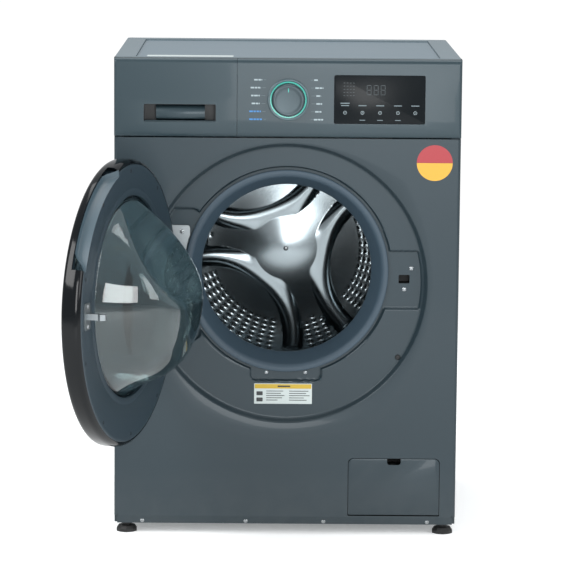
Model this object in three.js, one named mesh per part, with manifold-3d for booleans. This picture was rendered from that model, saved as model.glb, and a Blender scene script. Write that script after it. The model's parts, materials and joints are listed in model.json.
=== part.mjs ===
// Front load washing machine with its door open. Millimetres, +Z up, +Y towards the rear.
// The row's origin is the centre of the underside of the front left foot.
import * as THREE from 'three';
import { mergeVertices } from 'three/addons/utils/BufferGeometryUtils.js';
import Module from 'manifold-3d';

const wasm = await Module();
wasm.setup();

// ---- Driving dimensions -------------------------------------------------------------------

const WIDTH = 598;              // cabinet width
const DEPTH = 500;              // front panel face to rear panel face
const HEIGHT = 836;             // floor to worktop, feet screwed right in
const FLOOR_GAP = 18;           // floor to the underside of the cabinet
const SHEET = 1.2;              // painted steel sheet, drawn a little thick
const WALL = 2.5;               // moulded plastic wall
const GAP = 0.4;                // between parts that are fixed to each other
const DOOR_ANGLE = 107.5;        // how far the door stands open, degrees

const DRUM_Z = 465;             // height of the drum axis
const DOOR_DROP = 21;           // the door's centre is this much lower
const DOOR_R = 240;
const DISH_GAP = 6;             // between the door's edge and the recess it closes into
const DISH_FLOOR = 10;          // depth of that recess
const PAD_FLOOR = 15;           // depth of the pads inside it
const DOOR_FRONT = -30;         // closed door's outer face
const DOOR_BACK = 2;            // closed door's inner face
const RING_WIDTH = 68;          // from the door's edge to the hole in the front panel
const GLASS = 4;                // bowl wall

const PANEL_H = 136;            // height of the control panel and the drawer front
const PANEL_FACE = -6;          // their face stands this far in front of the front panel
const DRAWER_W = 211.5;

const TUB_FRONT = 75.4;
const TUB_SPLIT = 200;
const TUB_BACK = 372;
const TUB_WALL = 3.5;
const DRUM_R = 238;
const TUB_ROOM = 14;            // from the drum to the outside of the tub
const DRUM_FRONT = 92;
const DRUM_BACK = 325;
const SHAFT_R = 12.3;
const BORE_GAP = 0.3;           // between a shaft and what it turns in
const PULLEY_R = 150;
const MOTOR_PULLEY_R = 12;
const BELT = 3;

const FOOT_R = 18.5;
const FOOT_INSET = 21;          // foot centre to the cabinet's side
const FOOT_SETBACK = 25;        // foot centre to the cabinet's front and back

const FINE = 40;                // sides of the dish and the door
const BIG = 30;                 // sides of the drum, the gasket and the bowl
const TUB_SIDES = 24;           // sides of the tub and what fits round it
const ROUND = 18;
const SMALL = 10;

// ---- Dimensions that follow ---------------------------------------------------------------

const HALF_W = WIDTH / 2;
const INNER_W = HALF_W - SHEET;
const PANEL_BOTTOM = HEIGHT - PANEL_H;
const SHEET_TOP = PANEL_BOTTOM - 2;
const WORKTOP_BOTTOM = HEIGHT - 29.6;
const FOOT_X = HALF_W - FOOT_INSET;
const DISH_Z = DRUM_Z - DOOR_DROP;
const DISH_R = DOOR_R + DISH_GAP;
const OPENING_R = DOOR_R - RING_WIDTH;
const GLASS_R = OPENING_R - 4;  // hole in the door ring that the bowl stands in
const GLASS_Z = DRUM_Z - 10;
const DRUM_LIP_R = OPENING_R - 16;
const TUB_R = DRUM_R + TUB_ROOM;
const SPLIT_X = -HALF_W + DRAWER_W;
const HINGE_HALF = DOOR_R - 140;
const HINGE_X = -DOOR_R + 26;
const HINGE_Y = DOOR_FRONT + 12;
const KNOB_X = SPLIT_X + 88;
const KNOB_Z = HEIGHT - 71;
const LOCK_X = DOOR_R - 35.5;
const LOCK_Z = DRUM_Z - 13;
const MOTOR_X = 105;
const MOTOR_Z = DRUM_Z - TUB_R - 73;
const PUMP_X = HALF_W - 109;
const PUMP_Z = 85;
const FLAP_HINGE_Y = 4.6;
const FLAP_HINGE_Z = 39.4;
const INLET = [-HALF_W + 84, HEIGHT - 66];
const DRAIN = [HALF_W - 74, HEIGHT - 74];
const GLAND = [HALF_W - 44, HEIGHT - 136];
const DAMPER_X = TUB_R - 47;
const DAMPER_Y = 250;
const DAMPER_TOP = DRUM_Z - Math.sqrt(TUB_R ** 2 - DAMPER_X ** 2) - 20;
const SPRING_X = HALF_W - 49;
const SPRING_Y = 300;
const SPRING_TOP = WORKTOP_BOTTOM - 13;
const SPRING_LUG = DRUM_Z + 135;

// ---- Helpers ------------------------------------------------------------------------------

// A closed geometry as a manifold solid: welded, bare of slivers, facing outwards.
function solid(geometry) {
  const bare = geometry.clone();
  bare.deleteAttribute('normal');
  bare.deleteAttribute('uv');
  const welded = mergeVertices(bare, 1e-4);
  const position = welded.attributes.position;
  const source = welded.index.array;
  const faces = [];
  for (let i = 0; i < source.length; i += 3) {
    const [a, b, c] = [source[i], source[i + 1], source[i + 2]];
    if (a !== b && b !== c && c !== a) faces.push(a, b, c);
  }
  const [p, q, r] = [new THREE.Vector3(), new THREE.Vector3(), new THREE.Vector3()];
  let volume = 0;
  for (let i = 0; i < faces.length; i += 3) {
    p.fromBufferAttribute(position, faces[i]);
    q.fromBufferAttribute(position, faces[i + 1]);
    r.fromBufferAttribute(position, faces[i + 2]);
    volume += p.dot(q.cross(r));
  }
  if (volume < 0) faces.reverse();
  return new wasm.Manifold(new wasm.Mesh({
    numProp: 3,
    vertProperties: new Float32Array(position.array),
    triVerts: new Uint32Array(faces),
  }));
}

const add = (...parts) => parts.reduce((sum, part) => sum.add(part));
const cut = (body, ...tools) => tools.reduce((left, tool) => left.subtract(tool), body);

function block(x0, x1, y0, y1, z0, z1) {
  const box = new THREE.BoxGeometry(x1 - x0, y1 - y0, z1 - z0);
  return solid(box.translate((x0 + x1) / 2, (y0 + y1) / 2, (z0 + z1) / 2));
}

// A rectangle with rounded corners, as a list of points.
function roundRect(u0, u1, v0, v1, radius, steps = 4) {
  const points = [];
  const corners = [[u1 - radius, v0 + radius, -90], [u1 - radius, v1 - radius, 0],
    [u0 + radius, v1 - radius, 90], [u0 + radius, v0 + radius, 180]];
  for (const [u, v, start] of corners) {
    for (let i = 0; i <= steps; i += 1) {
      const angle = THREE.MathUtils.degToRad(start + 90 * i / steps);
      points.push([u + radius * Math.cos(angle), v + radius * Math.sin(angle)]);
    }
  }
  return points;
}

function circle(u, v, radius, steps = ROUND) {
  const points = [];
  for (let i = 0; i < steps; i += 1) {
    const angle = 2 * Math.PI * i / steps;
    points.push([u + radius * Math.cos(angle), v + radius * Math.sin(angle)]);
  }
  return points;
}

function extrude(points, length) {
  const shape = new THREE.Shape(points.map(([u, v]) => new THREE.Vector2(u, v)));
  return new THREE.ExtrudeGeometry(shape, { depth: length, bevelEnabled: false });
}

// A flat outline given thickness: (x, y) points along Z, (x, z) along Y, (y, z) along X.
function slabZ(points, z0, z1) {
  return solid(extrude(points, z1 - z0).translate(0, 0, z0));
}

function slabY(points, y0, y1) {
  return solid(extrude(points, y1 - y0).rotateX(Math.PI / 2).translate(0, y1, 0));
}

function slabX(points, x0, x1) {
  const turn = new THREE.Matrix4().set(0, 0, 1, x0, 1, 0, 0, 0, 0, 1, 0, 0, 0, 0, 0, 1);
  return solid(extrude(points, x1 - x0).applyMatrix4(turn));
}

// A slab along Z whose two rims are rounded off.
function softSlabZ(points, z0, z1, soft) {
  const shape = new THREE.Shape(points.map(([u, v]) => new THREE.Vector2(u, v)));
  const geometry = new THREE.ExtrudeGeometry(shape, {
    depth: z1 - z0 - 2 * soft,
    bevelThickness: soft,
    bevelSize: soft,
    bevelOffset: -soft,
    bevelSegments: 2,
  });
  return solid(geometry.translate(0, 0, z0 + soft));
}

// A profile of [radius, position] points turned about an axis along Y, Z or X.
function lathe(profile, segments) {
  const points = profile.map(([radius, at]) => new THREE.Vector2(radius, at));
  const first = points[0];
  const last = points[points.length - 1];
  if (first.x > 0 || last.x > 0) points.push(first.clone());
  return new THREE.LatheGeometry(points, segments);
}

function turnY(profile, x, z, segments = ROUND) {
  return solid(lathe(profile, segments).translate(x, 0, z));
}

function turnZ(profile, x, y, segments = SMALL) {
  return solid(lathe(profile, segments).rotateX(Math.PI / 2).translate(x, y, 0));
}

function rodY(radius, y0, y1, x, z, segments = ROUND) {
  return turnY([[0, y0], [radius, y0], [radius, y1], [0, y1]], x, z, segments);
}

function rodZ(radius, z0, z1, x, y, segments = SMALL) {
  return turnZ([[0, z0], [radius, z0], [radius, z1], [0, z1]], x, y, segments);
}

function ringY(inner, outer, y0, y1, x, z, segments = ROUND) {
  return turnY([[inner, y0], [outer, y0], [outer, y1], [inner, y1]], x, z, segments);
}

// A round wire swept along a line of points.
function wire(points, radius, steps, sides) {
  const path = new THREE.CatmullRomCurve3(points.map((p) => new THREE.Vector3(...p)));
  const round = circle(0, 0, radius, sides).map(([u, v]) => new THREE.Vector2(u, v));
  return solid(new THREE.ExtrudeGeometry(new THREE.Shape(round), { extrudePath: path, steps }));
}

const PAINT = { color: 0x4b5b5e, roughness: 0.35, metalness: 0.3 };
const FASCIA = { color: 0x526266, roughness: 0.32, metalness: 0.1 };
const DARK = { color: 0x15181a, roughness: 0.35, metalness: 0 };
const GLOSS = { color: 0x08090a, roughness: 0.08, metalness: 0 };
const LAMINATE = { color: 0x7f8f93, roughness: 0.45, metalness: 0 };
const RUBBER = { color: 0x41505f, roughness: 0.6, metalness: 0 };
const STEEL = { color: 0xb4b8bb, roughness: 0.22, metalness: 1 };
const ZINC = { color: 0xa8adaf, roughness: 0.45, metalness: 0.9 };
const ALUMINIUM = { color: 0x9ea3a6, roughness: 0.5, metalness: 0.8 };
const POLYMER = { color: 0xc9ccc8, roughness: 0.55, metalness: 0 };
const CONCRETE = { color: 0x8c8a84, roughness: 0.95, metalness: 0 };
const GREEN = { color: 0x1f6b45, roughness: 0.5, metalness: 0 };
const CLEAR = { color: 0xbfd0cc, roughness: 0.04, metalness: 0, transparent: true, opacity: 0.35 };

function part(name, body, look) {
  const mesh = body.getMesh();
  const geometry = new THREE.BufferGeometry();
  geometry.setAttribute('position', new THREE.BufferAttribute(new Float32Array(mesh.vertProperties), 3));
  geometry.setIndex(new THREE.BufferAttribute(new Uint32Array(mesh.triVerts), 1));
  const made = new THREE.Mesh(geometry, new THREE.MeshStandardMaterial(look));
  made.name = name;
  return made;
}

// ---- Cabinet ------------------------------------------------------------------------------

// The floor of the pads inside the dish: ring round the gasket, hinge pad, lock pad and the
// notch at the bottom, each grown by the same amount.
function padContour(grow, y0, y1) {
  const limit = rodY(DISH_R - 12 + grow, y0, y1, 0, DISH_Z, BIG);
  const inner = OPENING_R - 22;
  const [low, high] = [DISH_Z - HINGE_HALF - 1 - grow, DISH_Z + HINGE_HALF + 29 + grow];
  const hinge = roundRect(-DISH_R, -inner, low, high, 14);
  const lock = roundRect(inner, DISH_R, DISH_Z - 43 - grow, DISH_Z + 57 + grow, 14);
  const sill = DRUM_Z - OPENING_R;
  const notch = roundRect(-61 - grow, 61 + grow, sill - 20 - grow, sill + 31, 10);
  const pads = add(slabY(hinge, y0, y1), slabY(lock, y0, y1)).intersect(limit);
  return add(pads, slabY(notch, y0, y1), rodY(OPENING_R + 10 + grow, y0, y1, 0, DRUM_Z, BIG));
}

function frontPanel() {
  const soft = 5;
  const returns = 12;
  const rim = 14;
  const edge = roundRect(-HALF_W, HALF_W, 0, 4 * returns, soft);
  const inner = roundRect(-INNER_W, INNER_W, SHEET, 4 * returns, soft - SHEET);
  const low = FLOOR_GAP + rim;
  let sheet = cut(slabZ(edge, low, SHEET_TOP), slabZ(inner, low - 1, SHEET_TOP + 1));
  sheet = sheet.intersect(block(-WIDTH, WIDTH, -1, returns, 0, HEIGHT));
  const skirt = [[0, low], [4, FLOOR_GAP], [4 + SHEET, FLOOR_GAP], [SHEET, low + 0.3]];
  sheet = add(sheet, slabX(skirt, -HALF_W + soft, HALF_W - soft));
  const shell = [[0, 0], [DISH_R + SHEET, 0], [DISH_R - 9 + SHEET, DISH_FLOOR + SHEET],
    [0, DISH_FLOOR + SHEET]];
  const dish = [[0, -1], [DISH_R + 0.9, -1], [DISH_R - 9, DISH_FLOOR], [0, DISH_FLOOR]];
  sheet = add(sheet, turnY(shell, 0, DISH_Z, FINE));
  sheet = add(sheet, padContour(SHEET, DISH_FLOOR, PAD_FLOOR + SHEET));
  sheet = add(sheet, rodY(OPENING_R + SHEET, PAD_FLOOR, PAD_FLOOR + 11, 0, DRUM_Z, BIG));
  const hole = (top, r) => slabY(roundRect(PUMP_X - 79.8, PUMP_X + 80.8, 33.7, top, r), -1, 5);
  return cut(
    sheet,
    turnY(dish, 0, DISH_Z, FINE),
    padContour(0, DISH_FLOOR - 1, PAD_FLOOR),
    rodY(OPENING_R, -1, 40, 0, DRUM_Z, BIG),
    slabY(roundRect(LOCK_X - 9.5, LOCK_X + 9.5, LOCK_Z - 7.5, LOCK_Z + 7.5, 2), 0, 30),
    hole(136.8, 9),
    hole(60, 2),
  );
}

// One side of the cabinet: sheet, its flanges, and the tab that carries the tub's spring.
function sidePanel(side) {
  const back = DEPTH - 1.6;
  const step = 30.6;
  const low = [[12.6, FLOOR_GAP], [back, FLOOR_GAP], [back, WORKTOP_BOTTOM - GAP],
    [step, WORKTOP_BOTTOM - GAP], [step, SHEET_TOP + 0.6], [12.6, SHEET_TOP + 0.6]];
  const tab = SPRING_TOP + 1.6;
  const sheet = add(
    slabX(low, -HALF_W, -INNER_W),
    block(-HALF_W, -HALF_W + 15, 12.6, 12.6 + SHEET, FLOOR_GAP, SHEET_TOP + 0.6),
    block(-HALF_W, -HALF_W + 15, back - SHEET, back, FLOOR_GAP, WORKTOP_BOTTOM - GAP),
    block(-HALF_W, -HALF_W + 12, step, back, WORKTOP_BOTTOM - GAP - SHEET, WORKTOP_BOTTOM - GAP),
    block(-HALF_W, -SPRING_X + 12, SPRING_Y - 12, SPRING_Y + 12, tab, tab + 2),
    slabY([[-HALF_W, tab - 22], [-HALF_W + 22, tab + 1], [-HALF_W, tab + 1]], SPRING_Y - 1, SPRING_Y + 1),
  );
  return side < 0 ? sheet : sheet.mirror([1, 0, 0]);
}

function rearPanel() {
  const sheet = block(-HALF_W + 1, HALF_W - 1, DEPTH - SHEET, DEPTH, FLOOR_GAP, WORKTOP_BOTTOM - GAP);
  return cut(
    sheet,
    rodY(PULLEY_R + 8, DEPTH - 5, DEPTH + 5, 0, DRUM_Z, ROUND),
    rodY(13.7, DEPTH - 5, DEPTH + 5, ...INLET, SMALL),
    rodY(11.5, DEPTH - 5, DEPTH + 5, ...DRAIN, SMALL),
    rodY(7.9, DEPTH - 5, DEPTH + 5, ...GLAND, SMALL),
  );
}

function rearCover() {
  const r = PULLEY_R + 18;
  const y = DEPTH + 0.3;
  return turnY([[0, y + 6], [r - 40, y + 6], [r - 32, y], [r, y], [r, y + SHEET],
    [r - 31.5, y + SHEET], [r - 39.5, y + 6 + SHEET], [0, y + 6 + SHEET]], 0, DRUM_Z, ROUND);
}

function basePan() {
  const outer = INNER_W - GAP;
  const [y0, y1] = [14.4, DEPTH - 3.2];
  let pan = cut(
    block(-outer, outer, y0, y1, FLOOR_GAP, 34),
    block(-outer + 2, outer - 2, y0 + 2, y1 - 2, FLOOR_GAP + 2, 60),
  );
  pan = cut(pan, block(PUMP_X - 84, PUMP_X + 86, 10, 20, 29.2, 60));
  for (const x of [-DAMPER_X, DAMPER_X]) {
    pan = add(pan, block(x - 18, x + 18, DAMPER_Y - 18, DAMPER_Y + 18, FLOOR_GAP + 1, 32));
  }
  for (const x of [-FOOT_X, FOOT_X]) {
    for (const y of [FOOT_SETBACK, DEPTH - FOOT_SETBACK]) {
      pan = add(pan, rodZ(10, FLOOR_GAP, 29, x, y));
    }
  }
  for (const x of [-FOOT_X, FOOT_X]) {
    for (const y of [FOOT_SETBACK, DEPTH - FOOT_SETBACK]) {
      pan = cut(pan, rodZ(5.5, 0, 60, x, y));
    }
  }
  return pan;
}

function worktopFrame() {
  const [y0, y1] = [14, DEPTH];
  const outline = roundRect(-HALF_W, HALF_W, y0, y1, 6);
  const board = roundRect(-HALF_W + 36, HALF_W - 36, y0 + 6, y1 - 38, 3);
  const light = roundRect(-HALF_W + 46, HALF_W - 46, y0 + 14, y1 - 48, 3);
  return cut(
    softSlabZ(outline, WORKTOP_BOTTOM, HEIGHT, 2),
    slabZ(board, WORKTOP_BOTTOM + 6, HEIGHT + 5),
    slabZ(light, WORKTOP_BOTTOM - 5, HEIGHT + 5),
  );
}

function worktopBoard() {
  const grow = -0.4;
  const board = roundRect(-HALF_W + 36 - grow, HALF_W - 36 + grow, 20 - grow, DEPTH - 38 + grow, 3);
  return slabZ(board, WORKTOP_BOTTOM + 6.4, HEIGHT - 2.6);
}

// Section of the control panel and drawer front, in (y, z).
function panelSection(inset) {
  const [f, b, t] = [PANEL_FACE + inset, PANEL_BOTTOM + inset, HEIGHT - 0.6 - inset];
  const reach = inset > 0 ? 31 : 30;
  return [[reach, b], [PANEL_FACE + 5 + inset * 0.6, b], [f, b + 10 - inset * 0.7], [f, t - 9],
    [f + 1.2, t - 4.5], [f + 4, t - 1.4], [f + 8, t], [13.6 - inset, t],
    [13.6 - inset, WORKTOP_BOTTOM - GAP - inset], [reach, WORKTOP_BOTTOM - GAP - inset]];
}

// A length of that section as an open-backed shell; the outer end is rounded at the corner.
function panelShell(x0, x1, cornerSide) {
  const shell = cut(slabX(panelSection(0), x0, x1), slabX(panelSection(WALL), x0 + WALL, x1 - WALL));
  const reach = cornerSide < 0 ? [x0, x1 + 20] : [x0 - 20, x1];
  return shell.intersect(slabZ(roundRect(...reach, PANEL_FACE, 60, 5), PANEL_BOTTOM - 1, HEIGHT + 1));
}

const WINDOW = [HALF_W - 220, HALF_W - 63, HEIGHT - 112, HEIGHT - 28];

function controlPanel() {
  const [x0, x1, z0, z1] = WINDOW;
  return cut(
    panelShell(SPLIT_X + 0.3, HALF_W, 1),
    slabY(roundRect(x0, x1, z0, z1, 3), PANEL_FACE - 1, 5),
    rodY(33.6, PANEL_FACE - 1, 5, KNOB_X, KNOB_Z, ROUND),
  );
}

function displayWindow() {
  const [x0, x1, z0, z1] = WINDOW;
  return add(
    slabY(roundRect(x0 + 0.4, x1 - 0.4, z0 + 0.4, z1 - 0.4, 2.6), PANEL_FACE, 0),
    block(x0 - 3, x1 + 3, PANEL_FACE + WALL + 0.3, 10.6, z0 - 3, z1 + 3),
  );
}

function knobBezel() {
  const cup = [[5, 0], [33.1, 0], [33.1, PANEL_FACE - 0.4], [36.2, PANEL_FACE - 0.4], [36.2, -8],
    [35.2, -8.8], [32, -8.8], [31.4, -8.2], [29, -8.2], [29, -2], [5, -2]];
  return turnY(cup.reverse(), KNOB_X, KNOB_Z, ROUND);
}

function knob() {
  const profile = [[0, -22.6], [18, -22.8], [25.6, -23.6], [27.4, -22.6], [28.4, -19], [28.4, -2.6],
    [4.6, -2.6], [4.6, 10.6], [0, 10.6]];
  return turnY(profile, KNOB_X, KNOB_Z, ROUND);
}

function controlBoard() {
  const [x0, x1, z0, z1] = [KNOB_X - 70.5, HALF_W - 49, HEIGHT - 120, HEIGHT - 38];
  const chip = (x, z, w, h, deep) => block(x, x + w, 12, 12 + deep, z, z + h);
  return add(
    block(x0, x1, 11, 12.6, z0, z1),
    chip(x0 + 10, z0 + 14, 30, 50, 10),
    chip(x0 + 100, z0 + 9, 30, 20, 8),
    chip(x1 - 130, z0 + 6, 40, 38, 15),
    chip(x1 - 80, z0 + 6, 35, 28, 13),
  );
}

// ---- Detergent drawer ---------------------------------------------------------------------

const GRIP = [-HALF_W + 51, SPLIT_X - 36.5, PANEL_BOTTOM + 25.6, PANEL_BOTTOM + 56];

function drawerFront() {
  const [x0, x1, z0, z1] = GRIP;
  const back = 20;
  const face = PANEL_FACE + WALL;
  const pocket = block(x0 - 2, x1 + 2, face - 1, back + 2, z0 - 2, z1 + 20);
  return cut(
    add(panelShell(-HALF_W, SPLIT_X - 0.3, -1), pocket),
    block(x0, x1, face, back, z0, z1 + 18),
    slabY(roundRect(x0, x1, z0, z1, 3), PANEL_FACE - 1, face + 1),
    block(-WIDTH, WIDTH, 22.1, 40, 0, HEIGHT),
  );
}

const TRAY = {
  x0: -HALF_W + 16,
  x1: SPLIT_X - 17.5,
  y0: 22.5,
  y1: 235,
  z0: PANEL_BOTTOM + 16,
  z1: HEIGHT - 60,
};

function drawerTray() {
  const { x0, x1, y0, y1, z0, z1 } = TRAY;
  const wall = 2;
  const [left, right] = [x0 + 66, x1 - 54];
  const bottom = z0 + wall;
  return cut(
    block(x0, x1, y0, y1, z0, z1),
    block(x0 + wall, left - wall / 2, y0 + wall, y1 - wall, bottom, z1 + 5),
    block(left + wall / 2, right - wall / 2, y0 + wall, y1 - wall, bottom, z1 + 5),
    block(right + wall / 2, x1 - wall, y0 + wall, y1 - wall, bottom, z1 + 5),
  );
}

function siphonCap() {
  const [x, y] = [TRAY.x1 - 27.5, TRAY.y1 - 45];
  const top = TRAY.z1 - 6;
  return add(
    block(x - 25.1, x + 25.1, y - 40, y + 42.6, top, top + 3),
    block(x - 8, x + 8, y - 36, y - 30, top + 2, top + 12),
    rodZ(7, TRAY.z0 + 5, top + 1, x, y + 14, 16),
  );
}

function dispenserHousing() {
  const { x0, x1, y0, y1, z0, z1 } = TRAY;
  const room = 3;
  const [ix0, ix1, iz0, iz1] = [x0 - room, x1 + room, z0 - room, z1 + 14];
  const frame = cut(
    block(-INNER_W + 1, SPLIT_X - 1, 30.8, 33, PANEL_BOTTOM + 2, WORKTOP_BOTTOM - 2.2),
    block(ix0, ix1, 20, 40, iz0, iz1),
  );
  const box = cut(
    block(ix0 - WALL, ix1 + WALL, 30.8, y1 + 8, iz0 - WALL, iz1 + WALL),
    block(ix0, ix1, y0, y1 + 5, iz0, iz1),
  );
  const spout = [(x0 + x1) / 2, y1 - 26];
  return cut(
    add(frame, box, rodZ(15, iz0 - 16, iz0 - 1, ...spout), rodY(7, y1 + 6, y1 + 28, x0 + 50, iz1 - 8, 16)),
    rodZ(12, iz0 - 20, iz0 + 1, ...spout),
    rodY(4.5, y1 + 1, y1 + 40, x0 + 50, iz1 - 8, 16),
  );
}

// ---- Rear connections ---------------------------------------------------------------------

function inletValve() {
  const [x, z] = INLET;
  return add(
    cut(rodY(13.2, DEPTH - 15, DEPTH + 15, x, z, SMALL), rodY(8, DEPTH - 5, DEPTH + 20, x, z, SMALL)),
    block(x - 18, x + 18, DEPTH - 45, DEPTH - 8, z - 16, z + 16),
    rodY(6, DEPTH - 70, DEPTH - 44, x, z, SMALL),
  );
}

function drainOutlet() {
  const [x, z] = DRAIN;
  return cut(
    add(rodY(11, DEPTH - 50, DEPTH + 12, x, z, SMALL), rodY(19, DEPTH - 12, DEPTH - 2, x, z, SMALL)),
    rodY(8, DEPTH - 60, DEPTH + 20, x, z, SMALL),
  );
}

function cordGland() {
  return cut(
    turnY([[0, DEPTH - 12], [7.4, DEPTH - 12], [7.4, DEPTH + 0.3], [12, DEPTH + 0.3], [10, DEPTH + 8],
      [0, DEPTH + 8]], ...GLAND, SMALL),
    rodY(4, DEPTH - 20, DEPTH + 20, ...GLAND, SMALL),
  );
}

// ---- Door lock, hinge and gasket ----------------------------------------------------------

function doorLock() {
  const y = PAD_FLOOR + SHEET + GAP;
  return cut(
    block(LOCK_X - 15, LOCK_X + 25, y, 50, LOCK_Z - 34, LOCK_Z + 30),
    block(LOCK_X - 9.5, LOCK_X + 9.5, 10, 46, LOCK_Z - 7.5, LOCK_Z + 7.5),
  );
}

const PIN_R = 3.2;
const HINGE_EARS = [DISH_Z - 34, DISH_Z + 34];

// The plate on the front panel and the two cranked ears that the door's pin turns in.
function hingePlate() {
  const leg = -OPENING_R - 18;
  const outline = roundRect(HINGE_X + 6, HINGE_X + 46, DISH_Z - HINGE_HALF, DISH_Z + HINGE_HALF, 5);
  const plate = slabY(outline, 12.9, 14.7).subtract(rodY(OPENING_R + 7.5, 0, 40, 0, DRUM_Z, BIG));
  const ear = [[HINGE_X - 5.5, HINGE_Y - 2.5], [HINGE_X - 2.5, HINGE_Y - 5.5], [leg + 2, HINGE_Y - 4],
    [leg + 4, HINGE_Y - 2], [leg + 4, 14], [leg - 4, 14], [leg - 4, HINGE_Y + 5.5],
    [HINGE_X - 2.5, HINGE_Y + 5.5], [HINGE_X - 5.5, HINGE_Y + 2.5]];
  return cut(
    add(plate, ...HINGE_EARS.map((z) => slabZ(ear, z - 2, z + 2))),
    rodZ(PIN_R + BORE_GAP + 0.1, DISH_Z - 90, DISH_Z + 90, HINGE_X, HINGE_Y, SMALL),
  );
}

// Its front lip grips the panel's collar, its fold hangs inwards and its rear end meets the tub.
function gasket() {
  const section = [[5, 9], [-2, 8.5], [-7, 12], [-22, 44], [-24.5, 50], [-22, 57], [2, 70], [2, 75],
    [6, 75], [6, 66.5], [-19, 54], [-20.5, 50.5], [-8, 28], [-4, 30], [7, 30], [7, 26.6], [-1, 26.6],
    [-1, 14.5], [5, 14.5]];
  return turnY(section.map(([out, y]) => [OPENING_R + out, y]), 0, DRUM_Z, BIG);
}

// ---- Service flap and pump ----------------------------------------------------------------

function serviceFlap() {
  const [x0, x1, z0, z1] = [PUMP_X - 79, PUMP_X + 80, 35.6, 136];
  const middle = (x0 + x1) / 2;
  const boss = (a, b) => block(a, b, 1.6, FLAP_HINGE_Y + 1.4, FLAP_HINGE_Z - 1.1, FLAP_HINGE_Z + 9);
  const pin = 1.2;
  const pins = slabX(circle(FLAP_HINGE_Y, FLAP_HINGE_Z, pin, 12), x0 - 2.2, x1 + 2.2);
  return cut(
    add(
      slabY(roundRect(x0, x1, z0, z1, 9), 0, 2.5),
      slabY(roundRect(x0, x1, z0, 60, 2), 0, 2.5),
      boss(x0, x0 + 4),
      boss(x1 - 4, x1),
      pins.intersect(add(block(x0 - 5, x0 + 3, 0, 9, 30, 45), block(x1 - 3, x1 + 5, 0, 9, 30, 45))),
    ),
    slabY(roundRect(middle - 12, middle + 12, z1 - 11, z1 + 8, 5), -1, 5),
  );
}

function pumpHousing() {
  const [x0, x1, z0, z1] = [PUMP_X - 79.6, PUMP_X + 80.6, 32, 137.4];
  const wall = 2.4;
  const front = 2.4;
  const back = 58;
  const pins = slabX(circle(FLAP_HINGE_Y, FLAP_HINGE_Z, 1.7, 12), x0 - 10, x1 + 10);
  const body = add(
    block(x0 - wall, x1 + wall, front, back, z0 - wall, z1 + wall),
    rodY(32, back - 1, 122, PUMP_X, PUMP_Z, ROUND),
    rodY(38, 118, 150, PUMP_X, PUMP_Z, ROUND),
    rodZ(10, PUMP_Z, PUMP_Z + 62, PUMP_X + 26, 134, 16),
    rodY(26, 149, 185, PUMP_X, PUMP_Z, SMALL),
  );
  return cut(
    body,
    block(x0, x1, 0, back - wall, z0, z1),
    pins,
    rodY(24.5, 40, 118, PUMP_X, PUMP_Z, ROUND),
    rodY(12, 100, 130, PUMP_X, PUMP_Z, SMALL),
    rodY(31, 122, 146, PUMP_X, PUMP_Z, ROUND),
    rodZ(7, PUMP_Z + 20, PUMP_Z + 80, PUMP_X + 26, 134, 16),
    rodY(2.5 + BORE_GAP, 140, 170, PUMP_X, PUMP_Z, 16),
  );
}

function filterCap() {
  return add(
    turnY([[0, 40], [34, 40], [36, 42], [36, 54], [0, 54]], PUMP_X, PUMP_Z, ROUND),
    rodY(24.1, 53, 78, PUMP_X, PUMP_Z, ROUND),
    block(PUMP_X - 29, PUMP_X + 29, 28, 41, PUMP_Z - 4.5, PUMP_Z + 4.5),
    block(PUMP_X - 20, PUMP_X - 17, 77, 112, PUMP_Z - 8, PUMP_Z + 8),
    block(PUMP_X + 17, PUMP_X + 20, 77, 112, PUMP_Z - 8, PUMP_Z + 8),
    ringY(14, 20, 108, 112, PUMP_X, PUMP_Z, SMALL),
  );
}

function pumpImpeller() {
  return add(
    rodY(6, 126, 143, PUMP_X, PUMP_Z, 16),
    rodY(2.5, 142, 166, PUMP_X, PUMP_Z, 16),
    block(PUMP_X - 26, PUMP_X + 26, 127, 142, PUMP_Z - 1, PUMP_Z + 1),
    block(PUMP_X - 1, PUMP_X + 1, 127, 142, PUMP_Z - 26, PUMP_Z + 26),
  );
}

// ---- Feet and tub suspension --------------------------------------------------------------

function foot(x, y) {
  return turnZ([[0, 0], [FOOT_R, 0], [FOOT_R, 5], [FOOT_R - 4, 10.5], [8.5, 11.5], [8.5, 17],
    [5, 17], [5, 56], [0, 56]], x, y, SMALL);
}

function damperCylinder(side) {
  const x = side * DAMPER_X;
  return cut(
    rodZ(12, 32.4, 190, x, DAMPER_Y),
    rodZ(9, 60, 200, x, DAMPER_Y),
  );
}

function damperRod(side) {
  const x = side * DAMPER_X;
  return add(
    rodZ(5, 90, DAMPER_TOP - 0.6, x, DAMPER_Y),
    rodZ(8.6, 92, 112, x, DAMPER_Y),
    rodZ(9, DAMPER_TOP - 12, DAMPER_TOP - 0.6, x, DAMPER_Y),
  );
}

function spring(side) {
  const [bottom, top, turns, radius] = [SPRING_LUG + 3, SPRING_TOP, 6, 11];
  const points = [];
  const perTurn = 7;
  for (let i = 0; i <= turns * perTurn; i += 1) {
    const angle = 2 * Math.PI * i / perTurn;
    const z = bottom + (top - bottom) * i / (turns * perTurn);
    points.push([side * SPRING_X + radius * Math.cos(angle), SPRING_Y + radius * Math.sin(angle), z]);
  }
  return wire(points, 1.7, turns * perTurn, 4);
}

// ---- Tub ----------------------------------------------------------------------------------

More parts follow.
